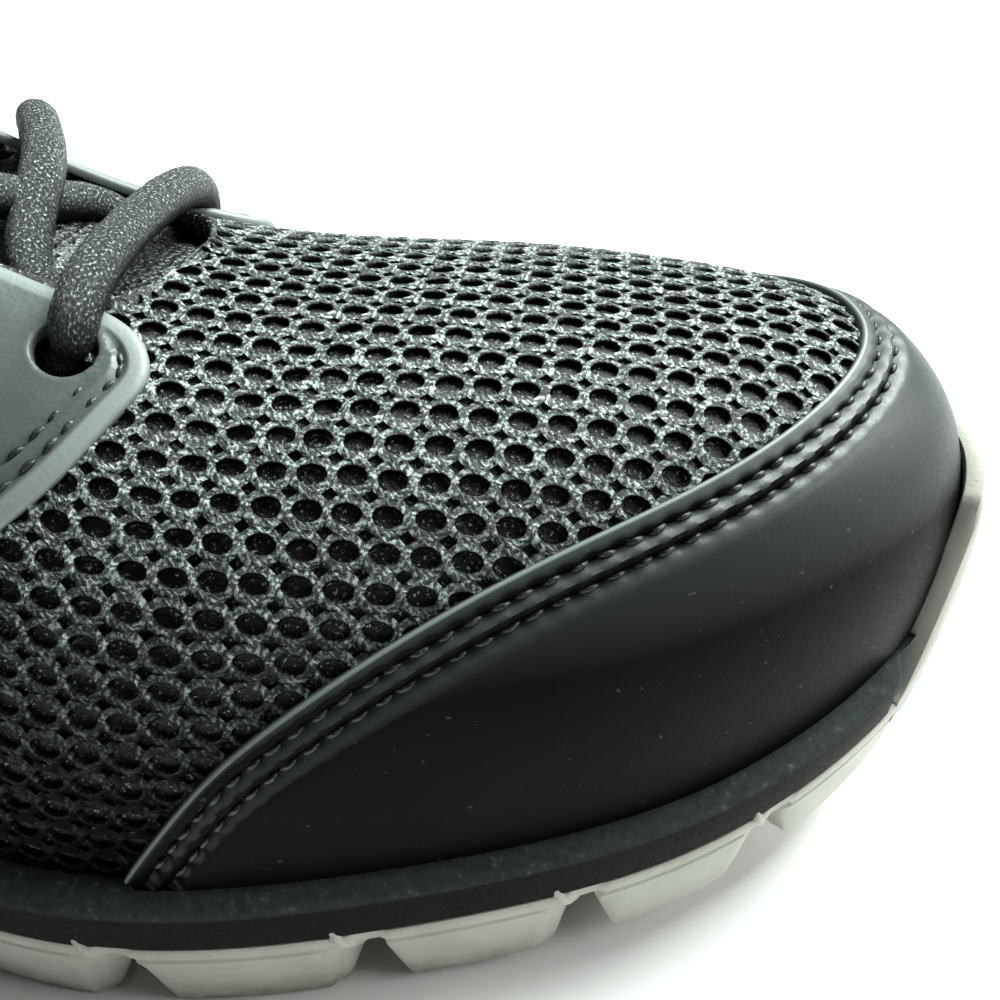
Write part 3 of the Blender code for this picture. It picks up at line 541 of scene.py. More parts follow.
def guard_leather():
    """Charcoal synthetic leather of the guard with pale specks: satin, painted shade near black low down, painted light
    paler and glossier where it faces up.
    """
    made, tree, shader = new_material("charcoal synthetic leather")
    place = object_place(tree)
    lit_facing_up = facing_up(tree, 0.28, 0.66)
    low = ramp(tree, noise(tree, place, 0.012, 3.0), ((0.35, "#060705"), (0.65, "#090a08")))
    # painted light and shade: paler on faces turned up, near black on the rest
    tone = blend_colours(tree, lit_facing_up, low, "#373d3d")
    tone = with_specks(tree, place, tone, 0.0011, 0.72, 0.75, 0.16, "#8b908c")
    give(tree, shader, "Base Color", blend_colours(tree, cut_edge(tree), tone, "#828c89"))
    give(tree, shader, "Specular IOR Level", spread(tree, lit_facing_up, 0.0, 1.0, 0.04, 0.48))
    with_grain(tree, shader, noise(tree, place, 0.0006, 3.0, 0.6), 0.40, 0.52, 0.00003)
    return made


def moulded_film():
    """Smooth grey film of the eyestays, its border painted paler as a sheen."""
    made, tree, shader = new_material("grey moulded film", Specular_IOR_Level=0.5)
    place = object_place(tree)
    tone = ramp(tree, noise(tree, place, 0.009, 3.0), ((0.35, "#4c5353"), (0.65, "#576060")))
    # painted sheen: the border paler than the film
    give(tree, shader, "Base Color", blend_colours(tree, cut_edge(tree), tone, "#858e8c"))
    with_grain(tree, shader, noise(tree, place, 0.0005, 2.0), 0.36, 0.48, 0.00004)
    return made


def sewing_thread():
    """Thick dark sewing thread with a soft shine."""
    made, tree, shader = new_material("twisted sewing thread", Roughness=0.40, Specular_IOR_Level=0.5)
    grain = noise(tree, object_place(tree), 0.0004, 2.0)
    give(tree, shader, "Base Color", ramp(tree, grain, ((0.38, "#0e100f"), (0.66, "#3a413e"))))
    bump(tree, shader, grain, 0.0001)
    return made


def dark_foam():
    """Charcoal foam of the sole's band: matt, its flat bevel painted paler as light falling on its top, with paler
    specks.
    """
    made, tree, shader = new_material("charcoal sole foam", Specular_IOR_Level=0.10)
    place = object_place(tree)
    face = ramp(tree, noise(tree, place, 0.008, 3.0), ((0.35, "#060503"), (0.65, "#0b0906")))
    stops = ((0.35, "#2f3434"), (0.62, "#3b4141"), (0.76, "#626967"))
    top = ramp(tree, noise(tree, place, 0.0012, 4.0, 0.6), stops)
    # painted light: the bevel, facing up, paler than the near black face
    give(tree, shader, "Base Color", blend_colours(tree, cut_edge(tree), face, top))
    with_grain(tree, shader, noise(tree, place, 0.0005, 3.0, 0.6), 0.6, 0.8, 0.00006)
    return made


def light_foam():
    """Warm light grey foam rubber of the lugs, dusty and brownish near the ground."""
    made, tree, shader = new_material("light grey foam rubber", Roughness=0.62, Specular_IOR_Level=0.35)
    place = object_place(tree)
    low = spread(tree, axis_of(tree, place, "Z"), 0.0, 0.006, 1.0, 0.0)
    dirt = times(tree, low, spread(tree, noise(tree, place, 0.004, 4.0, 0.65), 0.35, 0.65))
    tone = ramp(tree, noise(tree, place, 0.010, 3.0), ((0.35, "#aaaaa1"), (0.65, "#b6b6ad")))
    tone = blend_colours(tree, dirt, tone, "#7d725f")
    tone = with_specks(tree, place, tone, 0.0009, 0.70, 0.74, 0.4, "#6d675b")
    give(tree, shader, "Base Color", tone)
    bump(tree, shader, noise(tree, place, 0.0005, 3.0, 0.6), 0.00006)
    return made


def lining_cloth():
    """Black lining cloth with a fine knit."""
    made, tree, shader = new_material("black lining cloth", Roughness=0.85, Sheen_Weight=0.3)
    knit = node(tree, "TexVoronoi", links={"Vector": object_place(tree), "Scale": 1 / 0.0009}).outputs["Distance"]
    give(tree, shader, "Base Color", ramp(tree, knit, ((0.1, "#0c0d0d"), (0.6, "#262a29"))))
    bump(tree, shader, knit, 0.0002)
    return made


def woven_lace():
    """Round braided lace: small crossed bundles of dark and pale glinting threads, near black as painted shade where it
    faces down, laid out by its own UV in mm.
    """
    made, tree, shader = new_material("braided polyester lace", Roughness=0.42)
    uv = node(tree, "UVMap", {"uv_map": "lace"}).outputs["UV"]
    plaits = []
    for angle in (0.62, -0.62):
        turned = node(tree, "Mapping", links={"Vector": uv, "Rotation": (0.0, 0.0, angle)}).outputs["Vector"]
        wave = node(tree, "TexWave", links={"Vector": turned, "Scale": 0.55, "Distortion": 2.6, "Detail Scale": 1.5})
        plaits.append(wave.outputs["Fac"])
    both = times(tree, times(tree, *plaits), 0.08, noise(tree, uv, 0.40, 4.0, 0.72))
    stops = ((0.43, "#050706"), (0.53, "#232927"), (0.60, "#626d69"), (0.67, "#d8e2dc"))
    # painted shade: near black on faces turned down, and less specular there
    lit_facing_up = facing_up(tree, -0.35, 0.55)
    give(tree, shader, "Base Color", blend_colours(tree, lit_facing_up, "#0a0c0b", ramp(tree, both, stops)))
    give(tree, shader, "Specular IOR Level", spread(tree, lit_facing_up, 0.0, 1.0, 0.15, 0.6))
    bump(tree, shader, both, 0.0005)
    return made


# Meshes


def mesh_piece(name, points, faces, look, angle, marks=None):
    """A piece of faces over points in the last's own frame, its normals outward, its edge marks as cut_edge."""
    mesh = bpy.data.meshes.new(name)
    shape = bmesh.new()
    layer = None if marks is None else shape.verts.layers.float.new("cut_edge")
    made = [shape.verts.new(p) for p in (np.asarray(points) - CENTRE).tolist()]
    if layer is not None:
        for vert, value in zip(made, np.ravel(marks).tolist()):
            vert[layer] = value
    for face in faces:
        shape.faces.new([made[i] for i in face])
    bmesh.ops.remove_doubles(shape, verts=shape.verts, dist=WELD)
    bmesh.ops.dissolve_degenerate(shape, dist=SLIVER, edges=shape.edges)
    bmesh.ops.delete(shape, geom=[v for v in shape.verts if not v.link_faces], context="VERTS")
    bmesh.ops.recalc_face_normals(shape, faces=shape.faces)
    shape.to_mesh(mesh)
    shape.free()
    return finish_piece(name, mesh, look, angle)


def grid_piece(name, grid, look, angle, marks=None, strip=False):
    """A piece over columns of closed rows: a ring of open columns, or a strip of closed ones with capped ends."""
    count, depth = grid.shape[:2]
    faces = strip_faces(count, depth) if strip else grid_faces(count, depth, True)
    if marks is not None:
        marks = np.broadcast_to(marks, (count, depth))
    return mesh_piece(name, grid.reshape(-1, 3), faces, look, angle, marks)


def finish_piece(name, mesh, look, angle):
    """The mesh as an object that rides the root, shaded smooth up to an angle."""
    piece = bpy.data.objects.new(name, mesh)
    bpy.context.scene.collection.objects.link(piece)
    mesh.materials.append(look)
    mesh.shade_smooth()
    mesh.set_sharp_from_angle(angle=math.radians(angle))
    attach(piece, "root")
    return piece


def grid_faces(columns, rows, closed_columns=False, closed_rows=False, start=0):
    """Quads over columns by rows of points."""
    faces = []
    for i in range(columns if closed_columns else columns - 1):
        j = (i + 1) % columns
        for k in range(rows if closed_rows else rows - 1):
            m = (k + 1) % rows
            faces.append((start + i * rows + k, start + j * rows + k, start + j * rows + m, start + i * rows + m))
    return faces


def strip_faces(columns, rows):
    """Quads over columns of closed rows, with a cap at each end."""
    faces = grid_faces(columns, rows, closed_rows=True)
    return faces + [tuple(range(rows)), tuple((columns - 1) * rows + k for k in range(rows))]


def round_the_shoe(spacing):
    """Turns and sides of columns once round the outline, heel, outer side, toe, inner side, evenly spaced."""
    found = []
    for _, side in SIDES:
        run = run_along(outline(FINE_TURNS, side))
        count = int(run[-1] / spacing)
        found.append(np.interp(np.linspace(0, run[-1], count + 1), run, FINE_TURNS))
    outer, inner = found
    return np.concatenate([outer, inner[-2:0:-1]]), both_sides(len(outer), len(inner) - 2)


def outline_run(turn, side):
    """Distance along the sole's outline from the heel's back to each turn."""
    found = np.zeros_like(turn)
    for _, one in SIDES:
        run = run_along(outline(FINE_TURNS, one))
        found = np.where(side == one, np.interp(turn, FINE_TURNS, run), found)
    return found


def groove_places(word, side):
    """Distances along the outline of one side's grooves."""
    return outline_run(turn_at(GROOVES[word]), np.full(len(GROOVES[word]), side))


# Chart of the vamp and the eyestays: x along the shoe, s along the cloth from the ridge, outer side negative


class Cloth:
    """The skin laid out flat: sections square to the length, measured along the cloth."""

    STEP_X = 0.001
    STEP_S = 0.0005
    START_X, END_X = 0.040, 0.2935
    HALF = 0.118
    TURNS, RISES = 321, 141
    SKIRT = 0.014
    SWEEP, RAYS = 112, 361
    EYE_HEIGHT = 0.034
    SMOOTHINGS = 3

    def __init__(self):
        turn, rise = np.meshgrid(np.linspace(0, math.pi, self.TURNS), np.linspace(0, 1, self.RISES), indexing="ij")
        points, faces = [], []
        for _, side in SIDES:
            grid = base_skin(turn, side, rise)
            foot = grid[:, :1] - np.array([0, 0, self.SKIRT])
            grid = np.concatenate([foot, grid], 1)
            faces += grid_faces(self.TURNS, self.RISES + 1, start=len(points))
            points += grid.reshape(-1, 3).tolist()
        tree = BVHTree.FromPolygons(points, faces)
        self.xs = np.arange(self.START_X, self.END_X, self.STEP_X)
        self.ss = np.arange(-self.HALF, self.HALF + 1e-9, self.STEP_S)
        angles = np.radians(np.linspace(-self.SWEEP, self.SWEEP, self.RAYS))
        self.points = np.zeros((len(self.xs), len(self.ss), 3))
        for i, x in enumerate(self.xs):
            centre = Vector((x, float(middle_line(x / LENGTH)) * BALL_WIDTH / 2, self.EYE_HEIGHT + float(spring(x))))
            found = []
            for angle in angles:
                hit = tree.ray_cast(centre, Vector((0, math.sin(angle), math.cos(angle))))[0]
                if hit is not None:
                    found.append((angle, *hit))
            found = np.array(found)
            run = run_along(found[:, 1:])
            run -= np.interp(0.0, found[:, 0], run)
            for axis in range(3):
                self.points[i, :, axis] = np.interp(self.ss, run, found[:, axis + 1])
        smooth = self.points.copy()
        for _ in range(self.SMOOTHINGS):
            smooth[1:-1] = (smooth[:-2] + 2 * smooth[1:-1] + smooth[2:]) / 4
        self.points = smooth
        along = np.gradient(smooth, axis=0)
        across = np.gradient(smooth, axis=1)
        across[np.linalg.norm(across, axis=-1) < 1e-7] = (0, 0, -1)
        self.normals = unit(np.cross(along, across), 1e-12)

    def lay(self, x, s, lift=0.0):
        """Points on the cloth at a lift off it."""
        i = np.clip((x - self.xs[0]) / self.STEP_X, 0, len(self.xs) - 1.001)
        j = np.clip((s - self.ss[0]) / self.STEP_S, 0, len(self.ss) - 1.001)
        a, b = i.astype(int), j.astype(int)
        u, v = (i - a)[..., None], (j - b)[..., None]

        def mixed(table):
            low = table[a, b] * (1 - v) + table[a, b + 1] * v
            high = table[a + 1, b] * (1 - v) + table[a + 1, b + 1] * v
            return low * (1 - u) + high * u

        return mixed(self.points) + mixed(self.normals) * np.asarray(lift)[..., None]

    def flat(self, point):
        """The (x, s) of a point near the skin."""
        i = int(np.clip(round((point[0] - self.xs[0]) / self.STEP_X), 0, len(self.xs) - 1))
        away = np.linalg.norm(self.points[i] - point, axis=-1)
        return float(point[0]), float(self.ss[int(np.argmin(away))])


cloth = Cloth()


class Finder:
    """Gives turn, side and rise of points near the skin."""

    TURNS, RISES = 361, 161

    def __init__(self):
        t, r = np.meshgrid(np.linspace(0, math.pi, self.TURNS), np.linspace(0, 1, self.RISES), indexing="ij")
        self.places = []
        self.tree = KDTree(2 * t.size)
        for _, side in SIDES:
            points = base_skin(t, side, r).reshape(-1, 3)
            for point, place in zip(points.tolist(), zip(t.ravel(), np.full(t.size, side), r.ravel())):
                self.tree.insert(point, len(self.places))
                self.places.append(place)
        self.tree.balance()
        self.places = np.array(self.places)

    def __call__(self, points):
        found = [self.tree.find(p)[1] for p in points.reshape(-1, 3).tolist()]
        places = self.places[found]
        shape = points.shape[:-1]
        return [places[:, k].reshape(shape) for k in range(3)]


find_place = Finder()


def crease(x, s):
    """Lift of the soft folds of the vamp where the toes bend, in front of the outer eyestay."""
    found = np.zeros_like(x)
    for x0, s0, angle, reach, width, depth in (
        (0.205, -0.032, 60.0, 0.022, 0.0036, -0.0012),
        (0.211, -0.025, 56.0, 0.026, 0.0034, 0.0011),
        (0.218, -0.019, 58.0, 0.022, 0.0034, -0.0008),
        (0.224, -0.014, 60.0, 0.016, 0.0032, 0.0005),
    ):
        c, w = math.cos(math.radians(angle)), math.sin(math.radians(angle))
        along = (x - x0) * c + (s - s0) * w
        across = -(x - x0) * w + (s - s0) * c
        found = found + depth * np.exp(-((across / width) ** 2) - (along / reach) ** 2)
    return found


# Sole


def sole_slab(name, rows, top, bottom, look, spacing=0.0022):
    """A slab on the sole's outline: rows are (inset, height, edge mark) from the top edge down to the bottom edge."""
    turn, side = round_the_shoe(spacing)
    middle, _ = spine(turn)
    columns, marks = [], []

    def cap(row, shares, height):
        edge = outline(turn, side, row[0](turn, side))
        for share in shares:
            plan = middle + (edge - middle) * share
            columns.append(np.column_stack([plan, height(plan[:, 0])]))
            marks.append(row[2])

    cap(rows[0], (0.0, 0.5, 0.85), top)
    for inset, height, mark in rows:
        edge = outline(turn, side, inset(turn, side))
        columns.append(np.column_stack([edge, height(edge[:, 0])]))
        marks.append(mark)
    cap(rows[-1], (0.85, 0.5, 0.0), bottom)
    return grid_piece(name, np.stack(columns, 1), look, 32.0, np.array(marks, float))


def make_band(look):
    """The dark foam band with its flat bevel, which its material paints paler as light on its top."""

    def step(turn, side):
        return toe_span(turn, side) * (BUMPER_THICK + 0.3 * MM)

    def in_by(distance, bevel=0.0):
        return lambda t, s: distance + step(t, s) + bevel * (BAND_BEVEL_DEPTH - step(t, s)) / BAND_BEVEL_DEPTH

    def down(distance):
        return lambda x: sole_top(x) - distance

    def above(distance):
        return lambda x: band_bottom(x) + distance

    rows = (
        (in_by(0.0, BAND_BEVEL_DEPTH + 2 * MM), sole_top, 1.0),
        (in_by(0.0, BAND_BEVEL_DEPTH), sole_top, 1.0),
        (in_by(0.0, BAND_BEVEL_DEPTH - 0.3 * MM), down(0.1 * MM), 1.0),
        (in_by(0.0, 0.9 * MM), down(0.70 * MM), 1.0),
        (in_by(0.0, 0.30 * MM), down(1.0 * MM), 1.0),
        (in_by(0.06 * MM), down(1.35 * MM), 0.7),
        (in_by(0.0), down(1.9 * MM), 0.0),
        (in_by(0.10 * MM), down(4.2 * MM), 0.0),
        (in_by(0.06 * MM), above(0.8 * MM), 0.0),
        (in_by(0.25 * MM), above(0.1 * MM), 0.0),
        (in_by(1.5 * MM), above(0.05 * MM), 0.0),
    )
    piece = sole_slab("sole_band", rows, sole_top, above(0.05 * MM), look, 0.0016)
    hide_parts("midsole")
    return piece


def groove_offset(turn, side):
    """Distances along the outline, forward positive, from the nearest groove and from the nearest lug's middle."""
    run = outline_run(turn, side)
    near = np.full(turn.shape, 1.0)
    lug = np.full(turn.shape, 1.0)
    for word, one in SIDES:
        grooves = groove_places(word, one)
        for places, found in ((grooves, near), ((grooves[1:] + grooves[:-1]) / 2, lug)):
            away = run[:, None] - places[None, :]
            best = away[np.arange(len(run)), np.argmin(np.abs(away), axis=1)]
            found[side == one] = best[side == one]
    return near, lug


def make_lugs(look):
    """The light layer: a rim strip over lugs that are cut by grooves, each lug chamfered at its front end."""
    turn, side = round_the_shoe(0.0007)
    near, lug = groove_offset(turn, side)
    middle, _ = spine(turn)
    edge_x = outline(turn, side)[:, 0]
    tall = band_bottom(edge_x) - sole_bottom(edge_x)
    slope = 1.08 - np.sqrt(near**2 + 0.0004**2) / 0.0036
    climb = (tall - LUG_SKIN) * np.clip((slope + np.sqrt(slope**2 + 0.02)) / 2 - 0.004, 0, 1)
    climb = np.where(np.abs(near) > 0.0062, 0.0, climb)
    back = 1 - smooth_step((near + 0.0002) / 0.0008)
    cut = 0.8 * MM * smooth_step((near + 0.0068) / 0.0016) + 2.0 * MM * smooth_step((near + 0.0050) / 0.0036)
    cut = cut * back
    notch = 0.45 * MM * smooth_step((near + 0.0040) / 0.0012) * back
    wall = tall - climb
    columns = []

    def add_row(inset, height):
        edge = outline(turn, side, inset)
        columns.append(np.column_stack([edge, band_bottom(edge_x) - height]))

    edge = outline(turn, side, 3 * MM)
    for share in (0.0, 0.5, 1.0):
        plan = middle + (edge - middle) * share
        columns.append(np.column_stack([plan, band_bottom(plan[:, 0])]))
    for inset, drop, share in (
        (0.60, 0.0, 1.0), (0.18, 0.05, 1.0), (0.0, 0.30, 1.0), (0.0, 1.7, 1.0),
        (0.12, 2.0, 0.8), (0.42, 2.2, 0.5), (0.38, 2.5, 0.2),
    ):
        add_row(inset * MM + notch * share + cut * (1 - share), drop * MM)
    start = 2.9 * MM
    face = wall - 0.9 * MM - start
    for share in (0.0, 0.2, 0.45, 0.7, 1.0):
        add_row((0.12 * MM + (SOLE_TAPER - 0.3 * MM) * share) + cut, start + face * share)
    for inset, rise in ((0.10, 0.55), (0.35, 0.22), (0.70, 0.05), (1.1, 0.0)):
        add_row(SOLE_TAPER + (inset - 0.2) * MM + cut, wall - rise * MM)
    edge = outline(turn, side, SOLE_TAPER + 2.2 * MM + cut)
    away = np.linalg.norm(edge - middle, axis=1)
    share = middle[:, 0] / LENGTH
    channel_here = smooth_step((share - CHANNEL[0]) / CHANNEL_EASE) * smooth_step((CHANNEL[1] - share) / CHANNEL_EASE)
    places = [(s, 0.0, 0.0) for s in (1.0, 0.86, 0.74)]
    places += [(0.64, 0.0, 0.0), (0.62, 0.0, LONG_CUT), (0.59, 0.0, LONG_CUT), (0.57, 0.0, 0.0), (0.42, 0.0, 0.0)]
    places += [(0.0, d * MM, up * MM) for d, up in ((3.6, 0.0), (3.0, 0.3), (2.6, 4.5), (0.0, 4.5))]
    for share, near_middle, up in places:
        rho = np.minimum(near_middle / away, 0.40) if near_middle else np.full(len(away), share)
        plan = middle + (edge - middle) * rho[:, None]
        faded = smooth_step(away * rho / 0.004)
        sipe = SIPE * np.clip(1.6 - np.abs(lug) / 0.0005, 0, 1) * smooth_step((away * (1 - rho) - 0.003) / 0.001)
        raised = up if share else up * channel_here
        z = sole_bottom(plan[:, 0]) + np.maximum(climb * faded, raised + sipe * faded)
        columns.append(np.column_stack([plan, z]))
    piece = grid_piece("sole_lugs", np.stack(columns, 1), look, 38.0)
    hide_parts("outsole")
    return piece


def make_bumper(look):
    """The lip of the light layer that turns up over the tip of the toe."""
    outer = np.linspace(turn_at(BUMPER_START["outer"] + BUMPER_RAMP * 0.5), math.pi, 70)
    inner = np.linspace(math.pi, turn_at(BUMPER_START["inner"] + BUMPER_RAMP * 0.5), 80)[1:]
    turn, side = np.concatenate([outer, inner]), both_sides(len(outer), len(inner))
    along = np.linspace(0, 1, len(turn))
    height = np.clip(np.sin(np.pi * along), 0, 1) ** 0.5
    rise = 0.02 + (BUMPER_RISE - 0.02) * height
    lift_out, lift_in = FEATHER_INSET, FEATHER_INSET - BUMPER_THICK
    outside, inside = [], []
    for drop in (-3.5 * MM, 0.0, BAND_HEIGHT * 0.3):
        for found, inset in ((outside, 0.0), (inside, BUMPER_THICK)):
            edge = outline(turn, side, inset)
            found.append(np.column_stack([edge, band_bottom(edge[:, 0]) + drop]))
    for share in (0.0, 0.2, 0.4, 0.6, 0.8, 0.93):
        outside.append(skin(turn, side, rise * share, lift_out))
        inside.append(skin(turn, side, rise * share, lift_in))
    round_out = skin(turn, side, rise * 0.98, lift_out - 0.3 * MM)
    round_in = skin(turn, side, rise * 0.98, lift_in + 0.3 * MM)
    tip = skin(turn, side, rise, (lift_out + lift_in) / 2)
    grid = np.stack(outside + [round_out, tip, round_in] + inside[::-1], 1)
    run = run_along(outside[1])
    grown = 0.05 + 0.95 * smooth_step(np.minimum(run, run[-1] - run) / BUMPER_RUN_IN)
    foot = outside[0] + np.array([0, 0, 3.2 * MM])
    above = np.maximum(grid[:, :, 2] - foot[:, None, 2], 0.0)
    grid[:, :, 2] -= above * (1 - grown)[:, None]
    grid_piece("toe_bumper", grid, look, 38.0, strip=True)


def ring_spokes(along, across, sides):
    """Directions round a path and square to it, for each of its points."""
    other = np.cross(across, along)
    angle = 2 * math.pi * np.arange(sides) / sides
    return across[:, None] * np.cos(angle)[None, :, None] + other[:, None] * np.sin(angle)[None, :, None]


def tapered_tube(path, radii, sides=10):
    """Points and faces of a closed round tube along a path, with a radius at each of its points."""
    along = unit(np.gradient(path, axis=0))
    across = unit(np.cross(along, (0.0, 0.0, 1.0)), 1e-9)
    rings = path[:, None] + ring_spokes(along, across, sides) * radii[:, None, None]
    return rings.reshape(-1, 3), strip_faces(len(path), sides)


def make_fins(look):
    """The small pointed ridges that rise from each lug's front end over the band."""
    points, faces = [], []
    offsets = np.array([-6.0, -5.8, -5.3, -4.6, -3.6, -2.4, -1.0]) * MM
    drops = np.array([-2.1, -1.2, 0.2, 1.6, 2.9, 3.9, 4.6]) * MM
    insets = np.array([0.25, 0.05, 0.05, 0.25, 0.9, 1.7, 2.6]) * MM
    radii = np.array([0.12, 0.48, 0.75, 0.85, 0.8, 0.7, 0.5]) * MM
    for word, one in SIDES:
        run = run_along(outline(FINE_TURNS, one))
        for place in groove_places(word, one):
            turn = np.interp(place + offsets, run, FINE_TURNS)
            edge = outline(turn, one, insets + 0.35 * MM)
            path = np.column_stack([edge, band_bottom(edge[:, 0]) - drops])
            made, sides = tapered_tube(path, radii)
            faces += [tuple(i + len(points) for i in face) for face in sides]
            points += made.tolist()
    mesh_piece("lug_fins", points, faces, look, 60.0)


def make_insole(look):
    """The footbed, its top edge rounded."""
    inset = FEATHER_INSET + WALL + 1.6 * MM

    def at(distance):
        return lambda t, s: np.full_like(t, inset + distance)

    def up(distance):
        return lambda x: sole_top(x) + distance

    profile = ((1.6, 4.1), (0.6, 3.8), (0.0, 3.0), (0.0, 0.3))
    rows = [(at(away * MM), up(height * MM), 1.0) for away, height in profile]
    piece = sole_slab("footbed", rows, up(4.2 * MM), up(0.3 * MM), look, 0.004)
    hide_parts("insole")
    return piece


# Upper


def make_shell(look):
    """The hollow upper under the net, all in the one black spacer cloth: its outside, padded collar and inner wall."""
    turn, side = round_the_shoe(0.0024)
    share = share_at(turn)
    top = opening_rise(turn, side)
    steps = np.concatenate([np.linspace(0, 0.8, 26), np.linspace(0.82, 1, 18)])
    rise = top[:, None] * steps[None, :]
    wide = (turn[:, None], side[:, None])
    bare = skin(*wide, rise, 0.0)
    length = np.cumsum(np.linalg.norm(np.diff(bare, axis=1), axis=2), axis=1)
    left = np.concatenate([length[:, -1:], length[:, -1:] - length], 1)
    at_collar = smooth_step((COLLAR_SHOWN - share) / 0.06)[:, None]
    at_edge = np.where(top >= 1, 0.0, 1.0)[:, None]
    collar = smooth_step((11 * MM - left) / (2.2 * MM)) * at_collar
    binding = smooth_step((2.6 * MM - left) / (0.8 * MM)) * at_edge * (1 - at_collar)
    folds = crease(bare[..., 0], bare[..., 1]) * smooth_step((share - 0.6) / 0.03)[:, None]
    lift = -NET_DEPTH + 1.7 * MM * collar + 0.9 * MM * binding + folds
    outer = skin(*wide, rise, lift)
    padded = smooth_step((COLLAR_SHOWN - share) / 0.10)[:, None] * smooth_step((steps - 0.35) / 0.35)[None, :]
    thick = WALL + COLLAR_PAD * padded
    inner = skin(*wide, rise, -thick)
    outer[:, 0, 2] -= 1.0 * MM
    inner[:, 0, 2] = outer[:, 0, 2]
    up = unit(outer[:, -1] - outer[:, -3])
    shut = top >= 1
    for column in np.flatnonzero(shut):
        twin = np.flatnonzero(np.abs(turn - turn[column]) < 1e-9)
        outer[twin, -1] = outer[twin, -1].mean(axis=0)
        inner[twin, -1] = inner[twin, -1].mean(axis=0)
    open_here = np.where(shut, 0.0, 1.0)[:, None]
    rim = []
    for angle in np.radians((25, 60, 90, 120, 155)):
        a = (1 - math.cos(angle)) / 2
        point = outer[:, -1] * (1 - a) + inner[:, -1] * a
        rim.append(point + up * open_here * thick[:, -1:] * 0.42 * math.sin(angle))
    grid = np.concatenate([outer, np.stack(rim, 1), inner[:, ::-1]], 1)
    count, depth = grid.shape[:2]
    zone = np.ones((count, depth))
    zone[:, : len(steps)] = np.maximum(collar, binding)
    rows = len(steps)
    faces = []
    for i, face in zip(np.repeat(np.arange(count), depth), grid_faces(count, depth, True, True)):
        row = face[0] % depth
        if shut[i] and shut[(i + 1) % count] and rows - 1 <= row < rows + len(rim):
            continue
        faces.append(face)
    piece = mesh_piece("upper_shell", grid.reshape(-1, 3), faces, look, 50.0, zone)
    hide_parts("upper")
    return piece


NET_HOLE = 0.345
NET_HOLE_SHAPE = (1.05, 0.78, 1)
NET_HOLE_LIP = ((1.015, 0.50), (1.03, 0.32), (1.06, 0.24), (1.09, 0.06))
NET_CORNER = (0.5 - 0.215, 0.5 - 0.200)
NET_EDGE_HEIGHT, NET_CORNER_HEIGHT = 0.14, -0.34


def net_cell():
    """One cell of the net, a unit square with a round-edged oval hole and cut, sunk corners."""
    bpy.ops.object.select_all(action="DESELECT")
    bpy.ops.mesh.primitive_circle_add(vertices=16, radius=NET_HOLE, fill_type="NOTHING")
    cell = bpy.context.object
    bpy.ops.object.mode_set(mode="EDIT")
    bpy.ops.mesh.select_all(action="SELECT")
    centre = (0, 0, 0)
    bpy.ops.transform.resize(value=NET_HOLE_SHAPE, center_override=centre)
    bpy.ops.transform.translate(value=(0, 0, -1.0))
    for grow, climb in NET_HOLE_LIP:
        bpy.ops.mesh.extrude_edges_move(TRANSFORM_OT_translate={"value": (0, 0, climb)})
        bpy.ops.transform.resize(value=(grow, grow, 1), center_override=centre)
    bpy.ops.mesh.extrude_edges_move(TRANSFORM_OT_translate={"value": (0, 0, -0.16)})
    bpy.ops.object.mode_set(mode="OBJECT")
    square, corner = 0.5, NET_CORNER
    for vert in cell.data.vertices:
        if vert.select:
            angle = math.atan2(vert.co.y, vert.co.x)
            octant = round((angle - math.pi / 16) / (math.pi / 8)) % 16
            place = octant % 4
            quarter = octant // 4
            across = quarter % 2
            turned = ((square, 0.15), (square, corner[1 - across]), (corner[across], square), (0.15, square))[place]
            for _ in range(quarter):
                turned = (-turned[1], turned[0])
            vert.co.x, vert.co.y = turned
            vert.co.z = NET_EDGE_HEIGHT if place in (0, 3) else NET_CORNER_HEIGHT
    strand = cell.data.uv_layers.new(name="strand")
    for polygon in cell.data.polygons:
        angles = [math.atan2(cell.data.vertices[v].co.y, cell.data.vertices[v].co.x) for v in polygon.vertices]
        for loop, vertex, angle in zip(polygon.loop_indices, polygon.vertices, angles):
            if max(angles) - min(angles) > math.pi and angle < 0:
                angle += 2 * math.pi
            co = cell.data.vertices[vertex].co
            strand.data[loop].uv = (angle * 1.8, math.hypot(co.x, co.y) * NET_PITCH[0] / MM)
    return cell


def net_sheet(columns, rows):
    """The cell copied over columns and rows by two arrays: points, faces, strand places, and faces in a cell."""
    cell = net_cell()
    per_cell = len(cell.data.polygons)
    for axis, count in ((0, columns), (1, rows)):
        step = cell.modifiers.new("copies", "ARRAY")
        step.use_relative_offset = False
        step.use_constant_offset = True
        step.constant_offset_displace = (1.0 if axis == 0 else 0.0, 1.0 if axis == 1 else 0.0, 0.0)
        step.count = count
        step.use_merge_vertices = True
        step.merge_threshold = 0.0005
        bpy.context.view_layer.objects.active = cell
        bpy.ops.object.modifier_apply(modifier=step.name)
    points = np.empty(len(cell.data.vertices) * 3)
    cell.data.vertices.foreach_get("co", points)
    faces = [tuple(p.vertices) for p in cell.data.polygons]
    strands = np.empty(len(cell.data.loops) * 2)
    cell.data.uv_layers["strand"].data.foreach_get("uv", strands)
    strands = strands.reshape(-1, 2)
    bpy.data.objects.remove(cell, do_unlink=True)
    return points.reshape(-1, 3), faces, strands, per_cell


